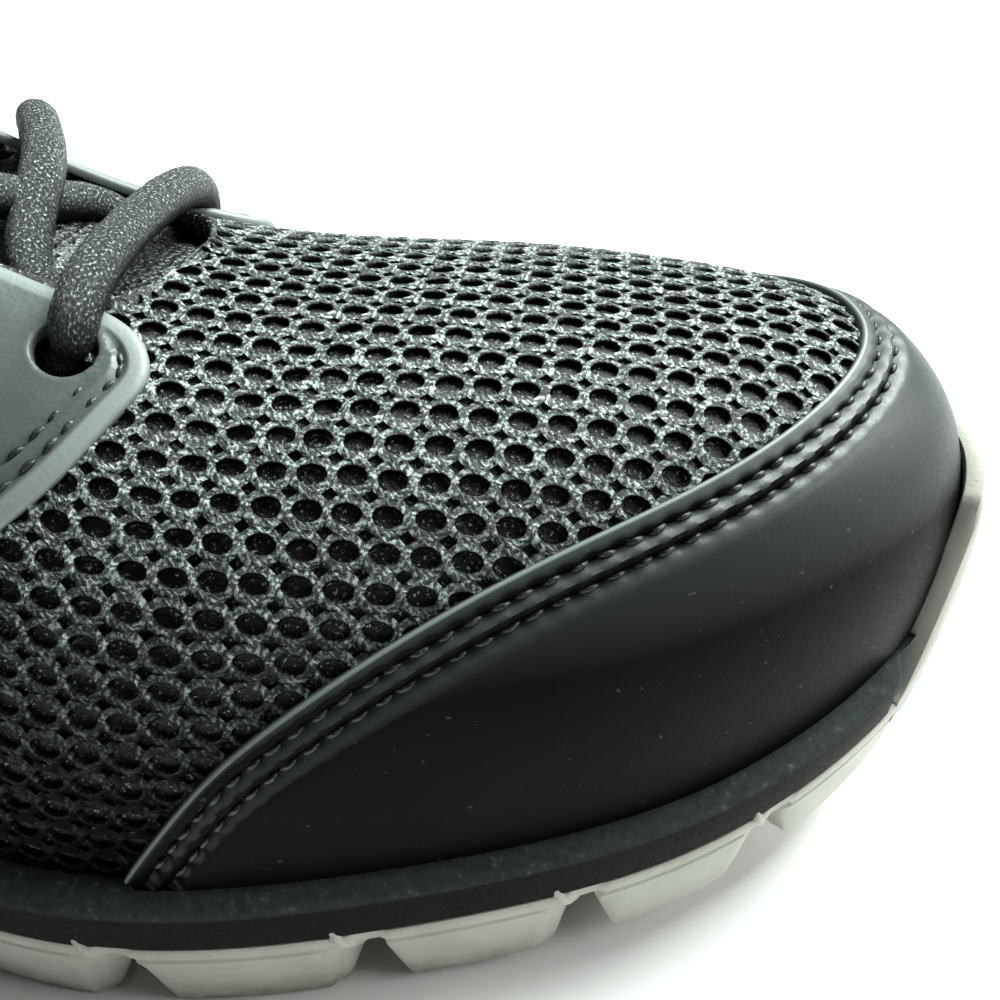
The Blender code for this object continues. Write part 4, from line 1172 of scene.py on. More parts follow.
def net_piece(name, columns, rows, lay, keep, trim, look, seed, squeeze=None):
    """A net wrapped by lay(u, v, lift) in cells, where keep says which cells stay and trim cuts the points back."""
    points, faces, strands, per_cell = net_sheet(columns, rows)
    u, v = np.meshgrid(np.arange(columns), np.arange(rows), indexing="xy")
    stays = keep(u.ravel().astype(float), v.ravel().astype(float))
    sides = [len(f) for f in faces]
    strands = strands[np.repeat([bool(stays[number // per_cell]) for number in range(len(faces))], sides)]
    faces = [f for number, f in enumerate(faces) if stays[number // per_cell]]
    used = np.unique(np.concatenate([np.array(f) for f in faces]))
    place = {int(old): new for new, old in enumerate(used)}
    faces = [tuple(place[i] for i in f) for f in faces]
    points = points[used]
    rng = np.random.default_rng(seed)
    shift = rng.uniform(-0.055, 0.055, (columns + 2, rows + 2, 3))
    cu = np.clip(np.rint(points[:, 0]), 0, columns).astype(int)
    cv = np.clip(np.rint(points[:, 1]), 0, rows).astype(int)
    fu, fv = points[:, 0] - cu, points[:, 1] - cv
    weight = np.clip(1 - (2 * fu) ** 2, 0, 1) * np.clip(1 - (2 * fv) ** 2, 0, 1)
    moved = points[:, :2] + shift[cu, cv, :2] * weight[:, None]
    if squeeze is not None:
        pressed = squeeze(points[:, 0], points[:, 1]) * (0.6 + 6 * np.abs(shift[cu, cv, 0]))
        moved[:, 1] -= fv * 0.75 * pressed * weight
        moved += shift[cu, cv, 1:] * (pressed * 3.5 * weight)[:, None]
    moved += rng.uniform(-0.012, 0.012, moved.shape)
    lift = points[:, 2] * NET_DEPTH * (1 + shift[cu, cv, 2] * weight) + rng.uniform(-0.04, 0.04, len(points)) * MM
    laid = trim(lay(moved[:, 0], moved[:, 1], lift), lift)
    mesh = bpy.data.meshes.new(name)
    mesh.from_pydata((laid - CENTRE).tolist(), [], faces)
    mesh.uv_layers.new(name="strand").data.foreach_set("uv", strands.ravel())
    return finish_piece(name, mesh, look, 75.0)


def loop_distance(points, loop):
    """Signed distance of points from a closed loop in the plane, positive inside it."""
    points, loop = np.asarray(points, float), np.asarray(loop, float)
    best = np.full(len(points), 1e9)
    inside = np.zeros(len(points), bool)
    for a, b in zip(loop, np.roll(loop, -1, axis=0)):
        along = b - a
        t = np.clip(((points - a) @ along) / max(along @ along, 1e-18), 0, 1)
        best = np.minimum(best, np.linalg.norm(points - a - t[:, None] * along, axis=1))
        crosses = (a[1] > points[:, 1]) != (b[1] > points[:, 1])
        with np.errstate(divide="ignore", invalid="ignore"):
            at = (b[0] - a[0]) * (points[:, 1] - a[1]) / (b[1] - a[1]) + a[0]
        inside ^= crosses & (points[:, 0] < at)
    return np.where(inside, best, -best)


def even_loop(loop, spacing):
    """A closed loop resampled at even distances along a smooth curve through its points."""
    loop = np.asarray(loop, float)
    wrapped = np.concatenate([loop[-3:], loop, loop[:4]])
    steps = run_along(wrapped)
    start, end = steps[3], steps[3 + len(loop)]
    count = max(8, round((end - start) / spacing))
    at = np.linspace(start, end, count + 1)[:-1]
    return np.stack([smooth_curve(steps, wrapped[:, k])(at) for k in range(2)], 1)


def rounded_corners(corners, share, steps=5):
    """A loop with each corner replaced by an arc over a share of its two sides."""
    found = []
    count = len(corners)
    for i in range(count):
        before, here, after = (np.array(corners[(i + k) % count], float) for k in (-1, 0, 1))
        a, b = here + (before - here) * share, here + (after - here) * share
        for k in range(steps + 1):
            t = k / steps
            found.append(a * (1 - t) ** 2 + here * 2 * t * (1 - t) + b * t * t)
    return found


def flat_loop(places, side):
    """The places (x, s) on the cloth of (share, rise) points on one side."""
    places = np.asarray(places, float)
    points = skin(turn_at(places[:, 0]), side, places[:, 1], 0.0)
    return np.array([cloth.flat(p) for p in points])


def resampled(loop, spacing):
    """A closed loop's points at even distances along its straight runs."""
    loop = np.asarray(loop, float)
    closed = np.concatenate([loop, loop[:1]])
    steps = run_along(closed)
    count = max(8, round(steps[-1] / spacing))
    at = np.linspace(0, steps[-1], count + 1)[:-1]
    return np.stack([np.interp(at, steps, closed[:, k]) for k in range(2)], 1)


STAY_COVER = 4.6 * MM
WINDOW_COVER = 4.0 * MM
STAY_LOOPS = {}
WINDOW_LOOPS = {}
for _, _side in SIDES:
    STAY_LOOPS[_side] = even_loop(flat_loop(list(zip(EYESTAY_EDGE["at"], EYESTAY_EDGE["rise"])), _side), 0.0009)
    WINDOW_LOOPS[_side] = [resampled(flat_loop(rounded_corners(w, WINDOW_ROUND), _side), 0.0007) for w in WINDOWS]


def under_stay(x, s):
    """True where the cloth lies wholly under an eyestay."""
    points = np.column_stack([x, s])
    hidden = np.zeros(len(points), bool)
    for side, loop in STAY_LOOPS.items():
        inside = loop_distance(points, loop) > STAY_COVER
        for window in WINDOW_LOOPS[side]:
            inside &= loop_distance(points, window) < -WINDOW_COVER
        hidden |= inside & (np.sign(s) == side)
    return hidden


def guard_clear(turn, rise):
    """How far a place on the skin is above the guard's edge, as a rise."""
    share = share_at(turn)
    return np.where(share > 0.62, rise - np.where(share < 0.655, 0.0, guard_rise(share)), 1.0)


def make_vamp_net(look):
    """The net of the vamp, between the eyestays, the guard and the throat."""
    ridge = cloth.points[:, len(cloth.ss) // 2]
    step = np.diff(ridge, axis=0)
    run = np.concatenate([[0], np.cumsum(np.sqrt(step[:, 0] ** 2 + 0.7 * step[:, 2] ** 2))])
    start = np.interp(0.108, cloth.xs, run)
    columns, rows = 44, 54

    def chart(u, v):
        s = (v - (rows - 1) / 2) * NET_PITCH[1]
        x = np.interp(start + u * NET_PITCH[0], run, cloth.xs)
        return x + 0.012 * s * np.sign(s), s

    def lay(u, v, lift):
        x, s = chart(u, v)
        return cloth.lay(x, s, lift + crease(x, s))

    def keep(u, v):
        x, s = chart(u, v)
        points = cloth.lay(x, s, 0.0)
        turn, side, rise = find_place(points)
        good = (x > 0.112) & (x < 0.2915) & ~under_stay(x, s)
        good &= points[:, 2] > sole_top(points[:, 0]) - 1.6 * MM
        good &= guard_clear(turn, rise) > -0.055
        return good & (rise < opening_rise(turn, side) + 0.035)

    def trim(points, lift):
        turn, side, rise = find_place(points)
        limit = opening_rise(turn, side) - 0.004
        over = (rise > limit) & (points[:, 0] < THROAT_FRONT)
        points[over] = skin(turn, side, np.minimum(rise, limit), np.minimum(lift, -0.1 * MM))[over]
        low = points[:, 2] < sole_top(points[:, 0]) - 0.8 * MM
        points[low, 2] = sole_top(points[low, 0]) - 0.8 * MM
        return points

    def squeeze(u, v):
        x, s = chart(u, v)
        return np.clip(np.abs(crease(x, s)) / (0.6 * MM), 0, 1)

    return net_piece("vamp_net", columns, rows, lay, keep, trim, look, 3, squeeze)


def make_quarter_net(look):
    """The net of the heel and the sides behind the eyestays."""
    turn = np.linspace(0, turn_at(0.47), 160)
    rises = np.linspace(0, 1, 121)
    height_step = 0.001
    heights = np.arange(0, 0.150, height_step)
    tables = {}
    for _, side in SIDES:
        grid = base_skin(turn[:, None], side, rises[None, :])
        run = run_along(grid[:, 30])
        climb = np.cumsum(np.linalg.norm(np.diff(grid, axis=1), axis=2), axis=1)
        climb = np.concatenate([np.zeros((len(turn), 1)), climb], 1)
        table = np.stack([np.interp(heights, row, rises) for row in climb])
        tables[side] = (run, table)
    columns, rows = 74, 24
    half = (columns - 1) / 2

    def chart(u, v):
        along = (u - half) * NET_PITCH[0]
        up = (v + 0.1) * NET_PITCH[1]
        side = np.where(along < 0, -1.0, 1.0)
        found_turn, found_rise = np.zeros_like(u), np.zeros_like(u)
        for one, (run, table) in tables.items():
            t = np.interp(np.abs(along), run, turn)
            i = np.clip(np.interp(np.abs(along), run, np.arange(len(turn))), 0, len(turn) - 1.001)
            j = np.clip(up / height_step, 0, len(heights) - 1.001)
            a, b = i.astype(int), j.astype(int)
            f, g = i - a, j - b
            low = table[a, b] * (1 - f) + table[a + 1, b] * f
            high = table[a, b + 1] * (1 - f) + table[a + 1, b + 1] * f
            r = low * (1 - g) + high * g
            found_turn = np.where(side == one, t, found_turn)
            found_rise = np.where(side == one, r, found_rise)
        return found_turn, side, found_rise

    def limit(turn_here, side):
        top = opening_rise(turn_here, side)
        grid = base_skin(turn_here[:, None], side[:, None], top[:, None] * np.array([0.85, 1.0])[None, :])
        per = np.linalg.norm(grid[:, 1] - grid[:, 0], axis=1) / (0.15 * top)
        return top - 9.6 * MM / per

    def lay(u, v, lift):
        t, side, r = chart(u, v)
        return skin(t, side, np.minimum(r, limit(t, side)), lift)

    def keep(u, v):
        t, side, r = chart(u, v)
        points = skin(t, side, r, 0.0)
        flat = np.array([cloth.flat(p) for p in points])
        good = (points[:, 0] < 0.1145) & (r < limit(t, side) + 0.03)
        return good & ~(under_stay(flat[:, 0], flat[:, 1]) & (points[:, 0] > 0.08))

    return net_piece("quarter_net", columns, rows, lay, keep, lambda points, lift: points, look, 5)


def skin_frame(turn, side, rise):
    """The skin's two directions of change and its outward normal."""
    low = np.clip(rise, 0.004, 0.99)
    along = (base_skin(turn + STEP, side, low) - base_skin(turn - STEP, side, low)) / (2 * STEP)
    up = (base_skin(turn, side, low + STEP) - base_skin(turn, side, low - STEP)) / (2 * STEP)
    return along, up, unit(np.cross(along, up) * -np.asarray(side)[..., None])


GUARD_PROFILE = (
    (0.0, -0.25, 0.0), (0.0, 0.45, 0.1), (0.06, 0.78, 0.7), (0.16, 0.94, 1.0), (0.34, 1.00, 0.9), (0.5, 1.00, 0.1),
    (0.9, 1.05, 0.0), (1.4, 1.10, 0.0), (1.9, 0.92, 0.0), (2.3, 0.66, 0.0), (2.7, 0.92, 0.0), (3.1, 1.30, 0.0),
    (3.55, 1.48, 0.0), (4.0, 1.30, 0.0), (4.4, 0.92, 0.0), (4.8, 0.64, 0.0), (5.2, 0.94, 0.0), (5.7, 1.30, 0.0),
    (6.3, 1.46, 0.0), (7.2, 1.46, 0.0), (8.5, 1.40, 0.0), (10.0, 1.36, 0.0), (12.0, 1.32, 0.0),
)
GUARD_ROWS = (2.3, 4.8)
GUARD_COLUMN_PITCH = 0.00047
GUARD_END_EASE = 0.004
GUARD_MARCH = 0.0005
GUARD_THICK = 1.3 * MM
GUARD_UNDER = -0.3 * MM
GUARD_FOOT = 0.4 * MM
GROOVE_DEPTH = 0.40 * MM
GROOVE_REACH = 1.1


def guard_lines():
    """Even places along the guard's upper edge: turns, sides and distances."""
    start = turn_at(GUARD_EDGE["at"][0] + 0.001)
    half = np.linspace(0, 1, 1200)
    turn = start + (math.pi - start) * half
    lines = []
    for _, side in SIDES:
        run = run_along(base_skin(turn, side, guard_rise(share_at(turn))))
        even = np.linspace(0, run[-1], round(run[-1] / GUARD_COLUMN_PITCH) + 1)
        lines.append((np.interp(even, run, turn), even))
    outer, inner = lines
    turns = np.concatenate([outer[0], inner[0][-2::-1]])
    sides = both_sides(len(outer[0]), len(inner[0]) - 1)
    runs = np.concatenate([outer[1], outer[1][-1] + inner[1][-1] - inner[1][-2::-1]])
    return turns, sides, runs


def march_in(turn, side, rise, depths):
    """Walks from the edge in over the skin, square to it, and gives the places at each depth."""
    place = base_skin(turn, side, rise)
    edge = unit(np.gradient(place, axis=0))
    heading = None
    t, r = turn.copy(), rise.copy()
    found, done = [(t.copy(), r.copy())], 0.0
    stopped = r <= 1e-4
    for depth in depths:
        while done < depth - 1e-9:
            step = min(GUARD_MARCH, depth - done)
            along, up, out = skin_frame(t, side, r)
            if heading is None:
                heading = np.cross(edge, out)
                heading *= -np.sign(np.sum(heading * up, axis=1, keepdims=True))
            heading = unit(heading - out * np.sum(heading * out, axis=1, keepdims=True))
            aa, bb, ab = np.sum(along**2, 1), np.sum(up**2, 1), np.sum(along * up, 1)
            ca, cb = np.sum(heading * along, 1) * step, np.sum(heading * up, 1) * step
            det = aa * bb - ab**2
            dt, dr = (ca * bb - cb * ab) / det, (cb * aa - ca * ab) / det
            new_r = r + dr
            hit = (new_r <= 0) & ~stopped
            t = np.where(stopped, t, np.where(hit, t + dt * np.clip(r / np.maximum(-dr, 1e-9), 0, 1), t + dt))
            r = np.where(stopped, r, np.maximum(new_r, 0.0))
            stopped |= hit
            done += step
        found.append((t.copy(), r.copy()))
    return found


def make_guard(look):
    """The guard round the toe with its pale cut edge and two sewn grooves. Gives the places of its stitches."""
    turn, side, run = guard_lines()
    rise = guard_rise(share_at(turn))
    depths = sorted({row[0] * MM for row in GUARD_PROFILE})
    place_of = dict(zip(depths, march_in(turn, side, rise, [depth for depth in depths if depth > 0])))
    beat = 0.5 + 0.5 * np.cos(2 * math.pi * run / STITCH_PITCH)
    taper = smooth_step(run / GUARD_END_EASE) * smooth_step((run[-1] - run) / GUARD_END_EASE)
    columns, marks = [], []

    def add_column(t, r, lift, mark=0.0, drop=0.0):
        columns.append(skin(t, side, r, lift) - np.array([0, 0, drop]))
        marks.append(mark)

    for depth, lift, mark in GUARD_PROFILE:
        dip = sum(max(0.0, 1 - abs(depth - row) / GROOVE_REACH) for row in GUARD_ROWS)
        add_column(*place_of[depth * MM], lift * MM - GROOVE_DEPTH * min(dip, 1.0) * beat * taper, mark)
    t, r = place_of[depths[-1]]
    for share in (0.93, 0.86, 0.77, 0.67, 0.56, 0.45, 0.34, 0.24, 0.15, 0.07, 0.0):
        add_column(t, r * share, GUARD_THICK)
    add_column(t, 0.0, GUARD_THICK, drop=GUARD_FOOT)
    add_column(t, 0.0, GUARD_UNDER, drop=GUARD_FOOT)
    for share in (0.3, 0.65, 1.0):
        add_column(t, r * share, GUARD_UNDER)
    for depth in (8.5, 4.8, 1.9):
        add_column(*place_of[depth * MM], GUARD_UNDER)
    grid = np.stack(columns, 1)
    piece = grid_piece("toe_guard_skin", grid, look, 50.0, np.array(marks), strip=True)
    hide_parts("toe_guard")
    stitches = []
    for row in GUARD_ROWS:
        t, r = place_of[row * MM]
        number = np.arange(1, int(run[-1] / STITCH_PITCH)) + 0.5
        index = np.clip(np.searchsorted(run, number * STITCH_PITCH), 1, len(run) - 2)
        index = index[r[index] > 0.012]
        here, above, ahead, behind = (
            skin(t[at], side[at], r[at], lift * MM)
            for at, lift in ((index, 0.70), (index, 1.86), (index + 1, 0.86), (index - 1, 0.86))
        )
        stitches += list(zip(here, ahead - behind, above - here))
    return stitches


STAY_ROWS = (2.9, 4.8)
EYELET_RADIUS = 3.4 * MM


def eyelet_places():
    """Turn and rise of each eyelet's centre, front row first."""
    for row in range(EYELET_ROWS):
        share = (EYELET_FRONT - row * EYELET_PITCH) / LENGTH
        yield float(turn_at(share)), EYELET_RISE - EYELET_RISE_STEP * row


def offset_loop(loop, distance):
    """The loop moved in by a distance, without the points that come too near another part of it."""
    along = unit(np.roll(loop, -1, axis=0) - np.roll(loop, 1, axis=0))
    moved = loop + np.column_stack([-along[:, 1], along[:, 0]]) * distance
    if np.mean(loop_distance(moved, loop)) * distance < 0:
        moved = loop - np.column_stack([-along[:, 1], along[:, 0]]) * distance
    kept = np.abs(loop_distance(moved, loop)) > abs(distance) * 0.93
    return moved, kept


def height_profile(distance, table):
    """The height at a distance, from a table of distances and heights in mm."""
    return np.interp(distance / MM, [row[0] for row in table], [row[1] for row in table]) * MM


STAY_BORDER = ((0.0, 0.50), (0.14, 0.80), (0.45, 0.98), (0.9, 1.08), (1.8, 1.14), (2.2, 1.10), (3.1, 1.2), (4.0, 1.2))
STAY_HOLE = ((0.0, 0.75), (0.12, 1.05), (0.4, 1.26), (0.8, 1.26), (1.4, 1.2))


GROOVE_HALF = 0.75
BORDER_REACH = 3 * MM


def in_panel(points, edge, holes, margin):
    """True for the points inside the edge and outside the holes by more than a margin."""
    good = loop_distance(points, edge) > margin
    for hole in holes:
        good &= loop_distance(points, hole) < -margin
    return good


def make_eyestay(word, side, look):
    """A moulded panel with its border, windows and eyelets, laid on the cloth. Gives the places of its stitches."""
    edge = STAY_LOOPS[side]
    holes = list(WINDOW_LOOPS[side])
    ring = np.linspace(0, 2 * math.pi, 29)[:-1]
    for turn, rise in eyelet_places():
        x, s = cloth.flat(skin(turn, side, rise, 0.0))
        holes.append(np.column_stack([x + EYELET_RADIUS * np.cos(ring), s + EYELET_RADIUS * np.sin(ring)]))
    loops = [edge, *holes]
    points, edges = [], []
    for loop in loops:
        start = len(points)
        points += loop.tolist()
        edges += [(start + i, start + (i + 1) % len(loop)) for i in range(len(loop))]
    rows = []
    for loop, depths in [(edge, (0.14, 0.45, 0.9, 1.8, 2.2)), *((hole, (-0.12, -0.4, -0.85)) for hole in holes)]:
        for depth in depths:
            moved, kept = offset_loop(loop, depth * MM)
            rows.append(moved[kept])
    run = run_along(edge)
    sewn = sewn_part(edge)
    stitches = []
    for depth in STAY_ROWS:
        for extra in (-GROOVE_HALF, 0.0, GROOVE_HALF):
            moved, kept = offset_loop(edge, (depth + extra) * MM)
            rows.append(moved[kept & sewn])
            if not extra:
                stitches.append((moved, kept & sewn))
    low, high = edge.min(axis=0), edge.max(axis=0)
    gx, gs = np.meshgrid(np.arange(low[0], high[0], 1.7 * MM), np.arange(low[1], high[1], 1.7 * MM))
    inner = np.column_stack([gx.ravel(), gs.ravel()])
    chosen = [np.array(points)]
    for group, gap in ((np.concatenate(rows), 0.10 * MM), (inner, 0.8 * MM)):
        group = group[in_panel(group, edge, holes, 0.08 * MM)]
        taken = KDTree(sum(len(c) for c in chosen))
        for number, spot in enumerate(np.concatenate(chosen).tolist()):
            taken.insert((*spot, 0.0), number)
        taken.balance()
        chosen.append(np.array([spot for spot in group.tolist() if taken.find((*spot, 0.0))[2] > gap]))
    flat = np.concatenate(chosen)
    spots, _, triangles, _, _, _ = geometry.delaunay_2d_cdt([Vector(p) for p in flat.tolist()], edges, [], 0, 1e-7)
    flat = np.array([tuple(p) for p in spots])
    faces = np.array([tuple(f) for f in triangles])
    faces = faces[in_panel(flat[faces].mean(axis=1), edge, holes, 0.0)]
    from_edge = np.maximum(loop_distance(flat, edge), 0.0)
    from_hole = np.full(len(flat), 1.0)
    for hole in holes:
        from_hole = np.minimum(from_hole, np.maximum(-loop_distance(flat, hole), 0.0))
    border = height_profile(from_edge, STAY_BORDER)
    at_border = from_edge < BORDER_REACH
    lift = np.minimum(border, height_profile(from_hole, STAY_HOLE) + at_border * 0.4 * MM)
    lift = np.where(at_border & (from_hole > 1 * MM), border, lift)
    nearest = np.argmin(np.linalg.norm(flat[:, None, :] - edge[None, ::3, :], axis=2), axis=1) * 3
    beat = 0.5 + 0.5 * np.cos(2 * math.pi * run[nearest] / STITCH_PITCH)
    clear = smooth_step((from_hole / MM - 0.9) / 0.8)
    for depth in STAY_ROWS:
        dip = np.clip(1 - np.abs(from_edge / MM - depth) / GROOVE_HALF, 0, 1) * sewn[nearest] * clear
        lift -= dip * (0.22 + 0.42 * beat) * MM
    puff = np.clip(1 - np.abs(from_edge / MM - sum(STAY_ROWS) / 2) / 0.9, 0, 1) * sewn[nearest] * clear
    lift += puff * 0.22 * MM
    # the border that the film paints paler as a sheen
    mark = smooth_step((2.3 * MM - from_edge) / (0.5 * MM))
    top = cloth.lay(flat[:, 0], flat[:, 1], lift)
    bottom = cloth.lay(flat[:, 0], flat[:, 1], np.full(len(flat), -0.3 * MM))
    count = len(flat)
    directed = {(a, b) for f in faces.tolist() for a, b in zip(f, f[1:] + f[:1])}
    both = [tuple(f) for f in faces.tolist()] + [tuple(i + count for i in reversed(f)) for f in faces.tolist()]
    both += [(b, a, a + count, b + count) for a, b in directed if (b, a) not in directed]
    piece = mesh_piece(
        f"eyestay_{word}_film", np.concatenate([top, bottom]), both, look, 50.0,
        np.concatenate([mark, 0 * mark]),
    )
    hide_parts(f"eyestay_{word}")
    found = []
    for (moved, good), depth in zip(stitches, STAY_ROWS):
        for number in range(1, int(run[-1] / STITCH_PITCH)):
            index = int(np.clip(np.searchsorted(run, (number + 0.5) * STITCH_PITCH), 1, len(edge) - 2))
            free = all(loop_distance(moved[index : index + 1], hole)[0] < -1.5 * MM for hole in holes)
            if free and good[index - 1 : index + 2].all():
                spots = moved[[index, index, index + 1, index - 1]]
                lifts = np.array([0.78, 1.78, 0.78, 0.78]) * MM
                here, above, after, before = cloth.lay(spots[:, 0], spots[:, 1], lifts)
                found.append((here, after - before, above - here))
    return found


def sewn_part(edge):
    """True for the points of an eyestay's edge that have stitching inside them: not the throat's side or the foot."""
    points = cloth.lay(edge[:, 0], edge[:, 1], np.zeros(len(edge)))
    _, _, rise = find_place(points)
    share = points[:, 0] / LENGTH
    throat = (rise > 0.735) & (share < 0.634)
    return ~throat & (rise > 0.05) & ~((share < 0.33) & (rise > 0.60))


def make_stitches(places, look):
    """All the stitches as one mesh: one fat capsule, copied to each place."""
    bpy.ops.object.select_all(action="DESELECT")
    bpy.ops.mesh.primitive_uv_sphere_add(segments=10, ring_count=8, radius=0.5)
    base = bpy.context.object
    bpy.ops.object.mode_set(mode="EDIT")
    bpy.ops.mesh.select_all(action="SELECT")
    bpy.ops.transform.rotate(value=math.pi / 2, orient_axis="Y", center_override=(0, 0, 0))
    bpy.ops.transform.resize(value=(2.3, 0.74, 0.66), center_override=(0, 0, 0))
    bpy.ops.object.mode_set(mode="OBJECT")
    shape = np.array([tuple(v.co) for v in base.data.vertices]) * MM
    faces = [tuple(p.vertices) for p in base.data.polygons]
    bpy.data.objects.remove(base, do_unlink=True)
    shape[:, 2] -= 0.25 * (shape[:, 0] / MM) ** 2 * MM
    rng = np.random.default_rng(11)
    points, made = [], []
    for place, along, out in places:
        along, out = unit(along), unit(out)
        across = unit(np.cross(out, along))
        tilt = rng.uniform(-0.14, 0.14)
        size = rng.uniform(0.92, 1.06)
        along = along * math.cos(tilt) + across * math.sin(tilt)
        across = np.cross(out, along)
        turned = shape @ np.stack([along, across, out]) * size
        made += [tuple(i + len(points) for i in face) for face in faces]
        points += (place + turned + out * 0.10 * MM).tolist()
    mesh_piece("stitches", points, made, look, 80.0)


def smooth_path(points, spacing):
    """A smooth curve through points, at even distances."""
    points = np.asarray(points, float)
    steps = np.concatenate([[0.0], np.cumsum(np.linalg.norm(np.diff(points, axis=0), axis=1) ** 0.5)])
    curves = [smooth_curve(steps, points[:, k]) for k in range(3)]
    fine = np.stack([c(np.linspace(0, steps[-1], 60 * len(points))) for c in curves], 1)
    run = run_along(fine)
    count = max(3, round(run[-1] / spacing))
    at = np.linspace(0, run[-1], count + 1)
    return np.stack([np.interp(at, run, fine[:, k]) for k in range(3)], 1), float(run[-1])


def lace_tube(name, path, look, sides=18, seed=1):
    """A round lace along a path, its surface a little uneven, with UV in millimetres along and round it."""
    rng = np.random.default_rng(seed)
    along = unit(np.gradient(path, axis=0))
    across = np.zeros_like(path)
    across[0] = unit(np.cross(along[0], (0.0, 0.0, 1.0)))
    for i in range(1, len(path)):
        across[i] = unit(across[i - 1] - along[i] * (across[i - 1] @ along[i]))
    radius = LACE_DIAMETER / 2 * (1 + rng.uniform(-0.02, 0.02, (len(path), sides)))
    rings = path[:, None] + ring_spokes(along, across, sides) * radius[..., None]
    tips = []
    for end, outward in ((0, -1.0), (-1, 1.0)):
        for out_by, shrink in ((0.35, 0.86), (0.55, 0.5)):
            tip = path[end] + along[end] * outward * out_by * LACE_DIAMETER / 2 * 0.6
            tips.append(tip + (rings[end] - path[end]) * shrink)
    rings = np.concatenate([[tips[1]], [tips[0]], rings, [tips[2]], [tips[3]]])
    mesh = bpy.data.meshes.new(name)
    count = len(rings)
    faces = grid_faces(count, sides, closed_rows=True)
    faces += [tuple(range(sides)), tuple((count - 1) * sides + k for k in reversed(range(sides)))]
    mesh.from_pydata((rings.reshape(-1, 3) - CENTRE).tolist(), [], faces)
    run = run_along(rings.mean(axis=1)) / MM
    layer = mesh.uv_layers.new(name="lace")
    per_side = math.pi * LACE_DIAMETER / MM / sides
    for polygon in mesh.polygons:
        rows = [v // sides for v in polygon.vertices]
        spokes_of = [v % sides for v in polygon.vertices]
        wraps = len(polygon.vertices) == 4 and 0 in spokes_of and sides - 1 in spokes_of
        for loop, row, spoke in zip(polygon.loop_indices, rows, spokes_of):
            layer.data[loop].uv = (run[row], (spoke + (sides if wraps and spoke == 0 else 0)) * per_side)
    shape = bmesh.new()
    shape.from_mesh(mesh)
    bmesh.ops.recalc_face_normals(shape, faces=shape.faces)
    shape.to_mesh(mesh)
    shape.free()
    return finish_piece(name, mesh, look, 70.0)


def lace_place(row, part, side, lift, ahead=0.0):
    """A point of the lace at a row, at a part of the way from the middle line to that row's eyelet, at a lift in mm."""
    x = EYELET_FRONT - row * EYELET_PITCH + ahead * MM
    turn, rise = float(turn_at(x / LENGTH)), EYELET_RISE - EYELET_RISE_STEP * row
    eyelet = skin(turn, side, rise, 0.0)
    middle = spine(np.array(turn))[0][1]
    return skin(*place_across(x / LENGTH, (eyelet[1] - middle) * part), lift * MM)


def half_lace(side, over):
    """The lace from one side's front eyelet up to its last one, from under one edge over to the other row by row."""
    points = []
    here = side
    for row in range(EYELET_ROWS - 1):
        for step, part, way, lift, ahead in (
            (0.0, 0.97, 1, -4.2, -1.5), (0.0, 0.74, 1, -4.9, -4.0), (0.40, 0.50, 1, -2.6, 0.0),
            (0.55, 0.05, 1, 1.4 if over else -1.6, 0.0), (0.78, 0.50, -1, 3.0, 0.0), (0.95, 0.78, -1, 4.4, 0.0),
            (1.0, 0.95, -1, 3.3, 0.0), (1.0, 1.02, -1, -0.5, 0.0),
        ):
            points.append(lace_place(row + step, part, way * here, lift, ahead))
        here = -here
    points.append(lace_place(EYELET_ROWS - 1, 0.97, here, -4.2, -1.5))
    points.append(lace_place(EYELET_ROWS - 1, 0.74, here, -4.9, -5.0))
    return points


def make_lacing(look):
    """One lace: the front bar, and from each of its ends a run up through the eyelets."""
    climb = ((0.93, -2.0), (0.90, 0.9), (0.76, 3.2), (0.40, 3.2))
    bar = [lace_place(0, part, -1.0, lift) for part, lift in climb]
    bar += [lace_place(0, part, 1.0, lift) for part, lift in ((0.02, 2.8), *climb[::-1])]
    points = half_lace(-1.0, True)[::-1] + bar + half_lace(1.0, False)
    path, length = smooth_path(points, 0.9 * MM)
    piece = lace_tube("lacing", path, look)
    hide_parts("lace_bar", "lace_crossings")
    path = path - CENTRE


KNOT_AT = 0.311
KNOT_LIFT = 1.5
KNOT_RADIUS = 0.0068
KNOT_SWEEP = 290.0


def make_bow(look):
    """The knot, the two loops and the two ends of the bow."""
    top = skin(*place_across(KNOT_AT, 0.0), KNOT_LIFT * LACE_DIAMETER)
    angles = np.radians(np.linspace(-KNOT_SWEEP / 2, KNOT_SWEEP / 2, 12))
    ring = [top + KNOT_RADIUS * np.array([math.sin(a), 0.0, math.cos(a)]) for a in angles]
    runs = [("lace_knot", ring, "object")]
    for word, side in SIDES:
        for kind, table, end in (("loop", LOOP_ROUTE, "object"), ("end", END_ROUTE, "bare")):
            lift = np.array(table["lift"]) * LACE_DIAMETER
            route = skin(turn_at(table["at"]), side, np.array(table["rise"]), lift)
            runs.append((f"lace_{kind}_{word}", route, end))
    for number, (name, route, end) in enumerate(runs):
        path, length = smooth_path(route, 1.1 * MM)
        piece = lace_tube(f"{name}_braid", path, look, seed=20 + number)
        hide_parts(name)
        path = path - CENTRE


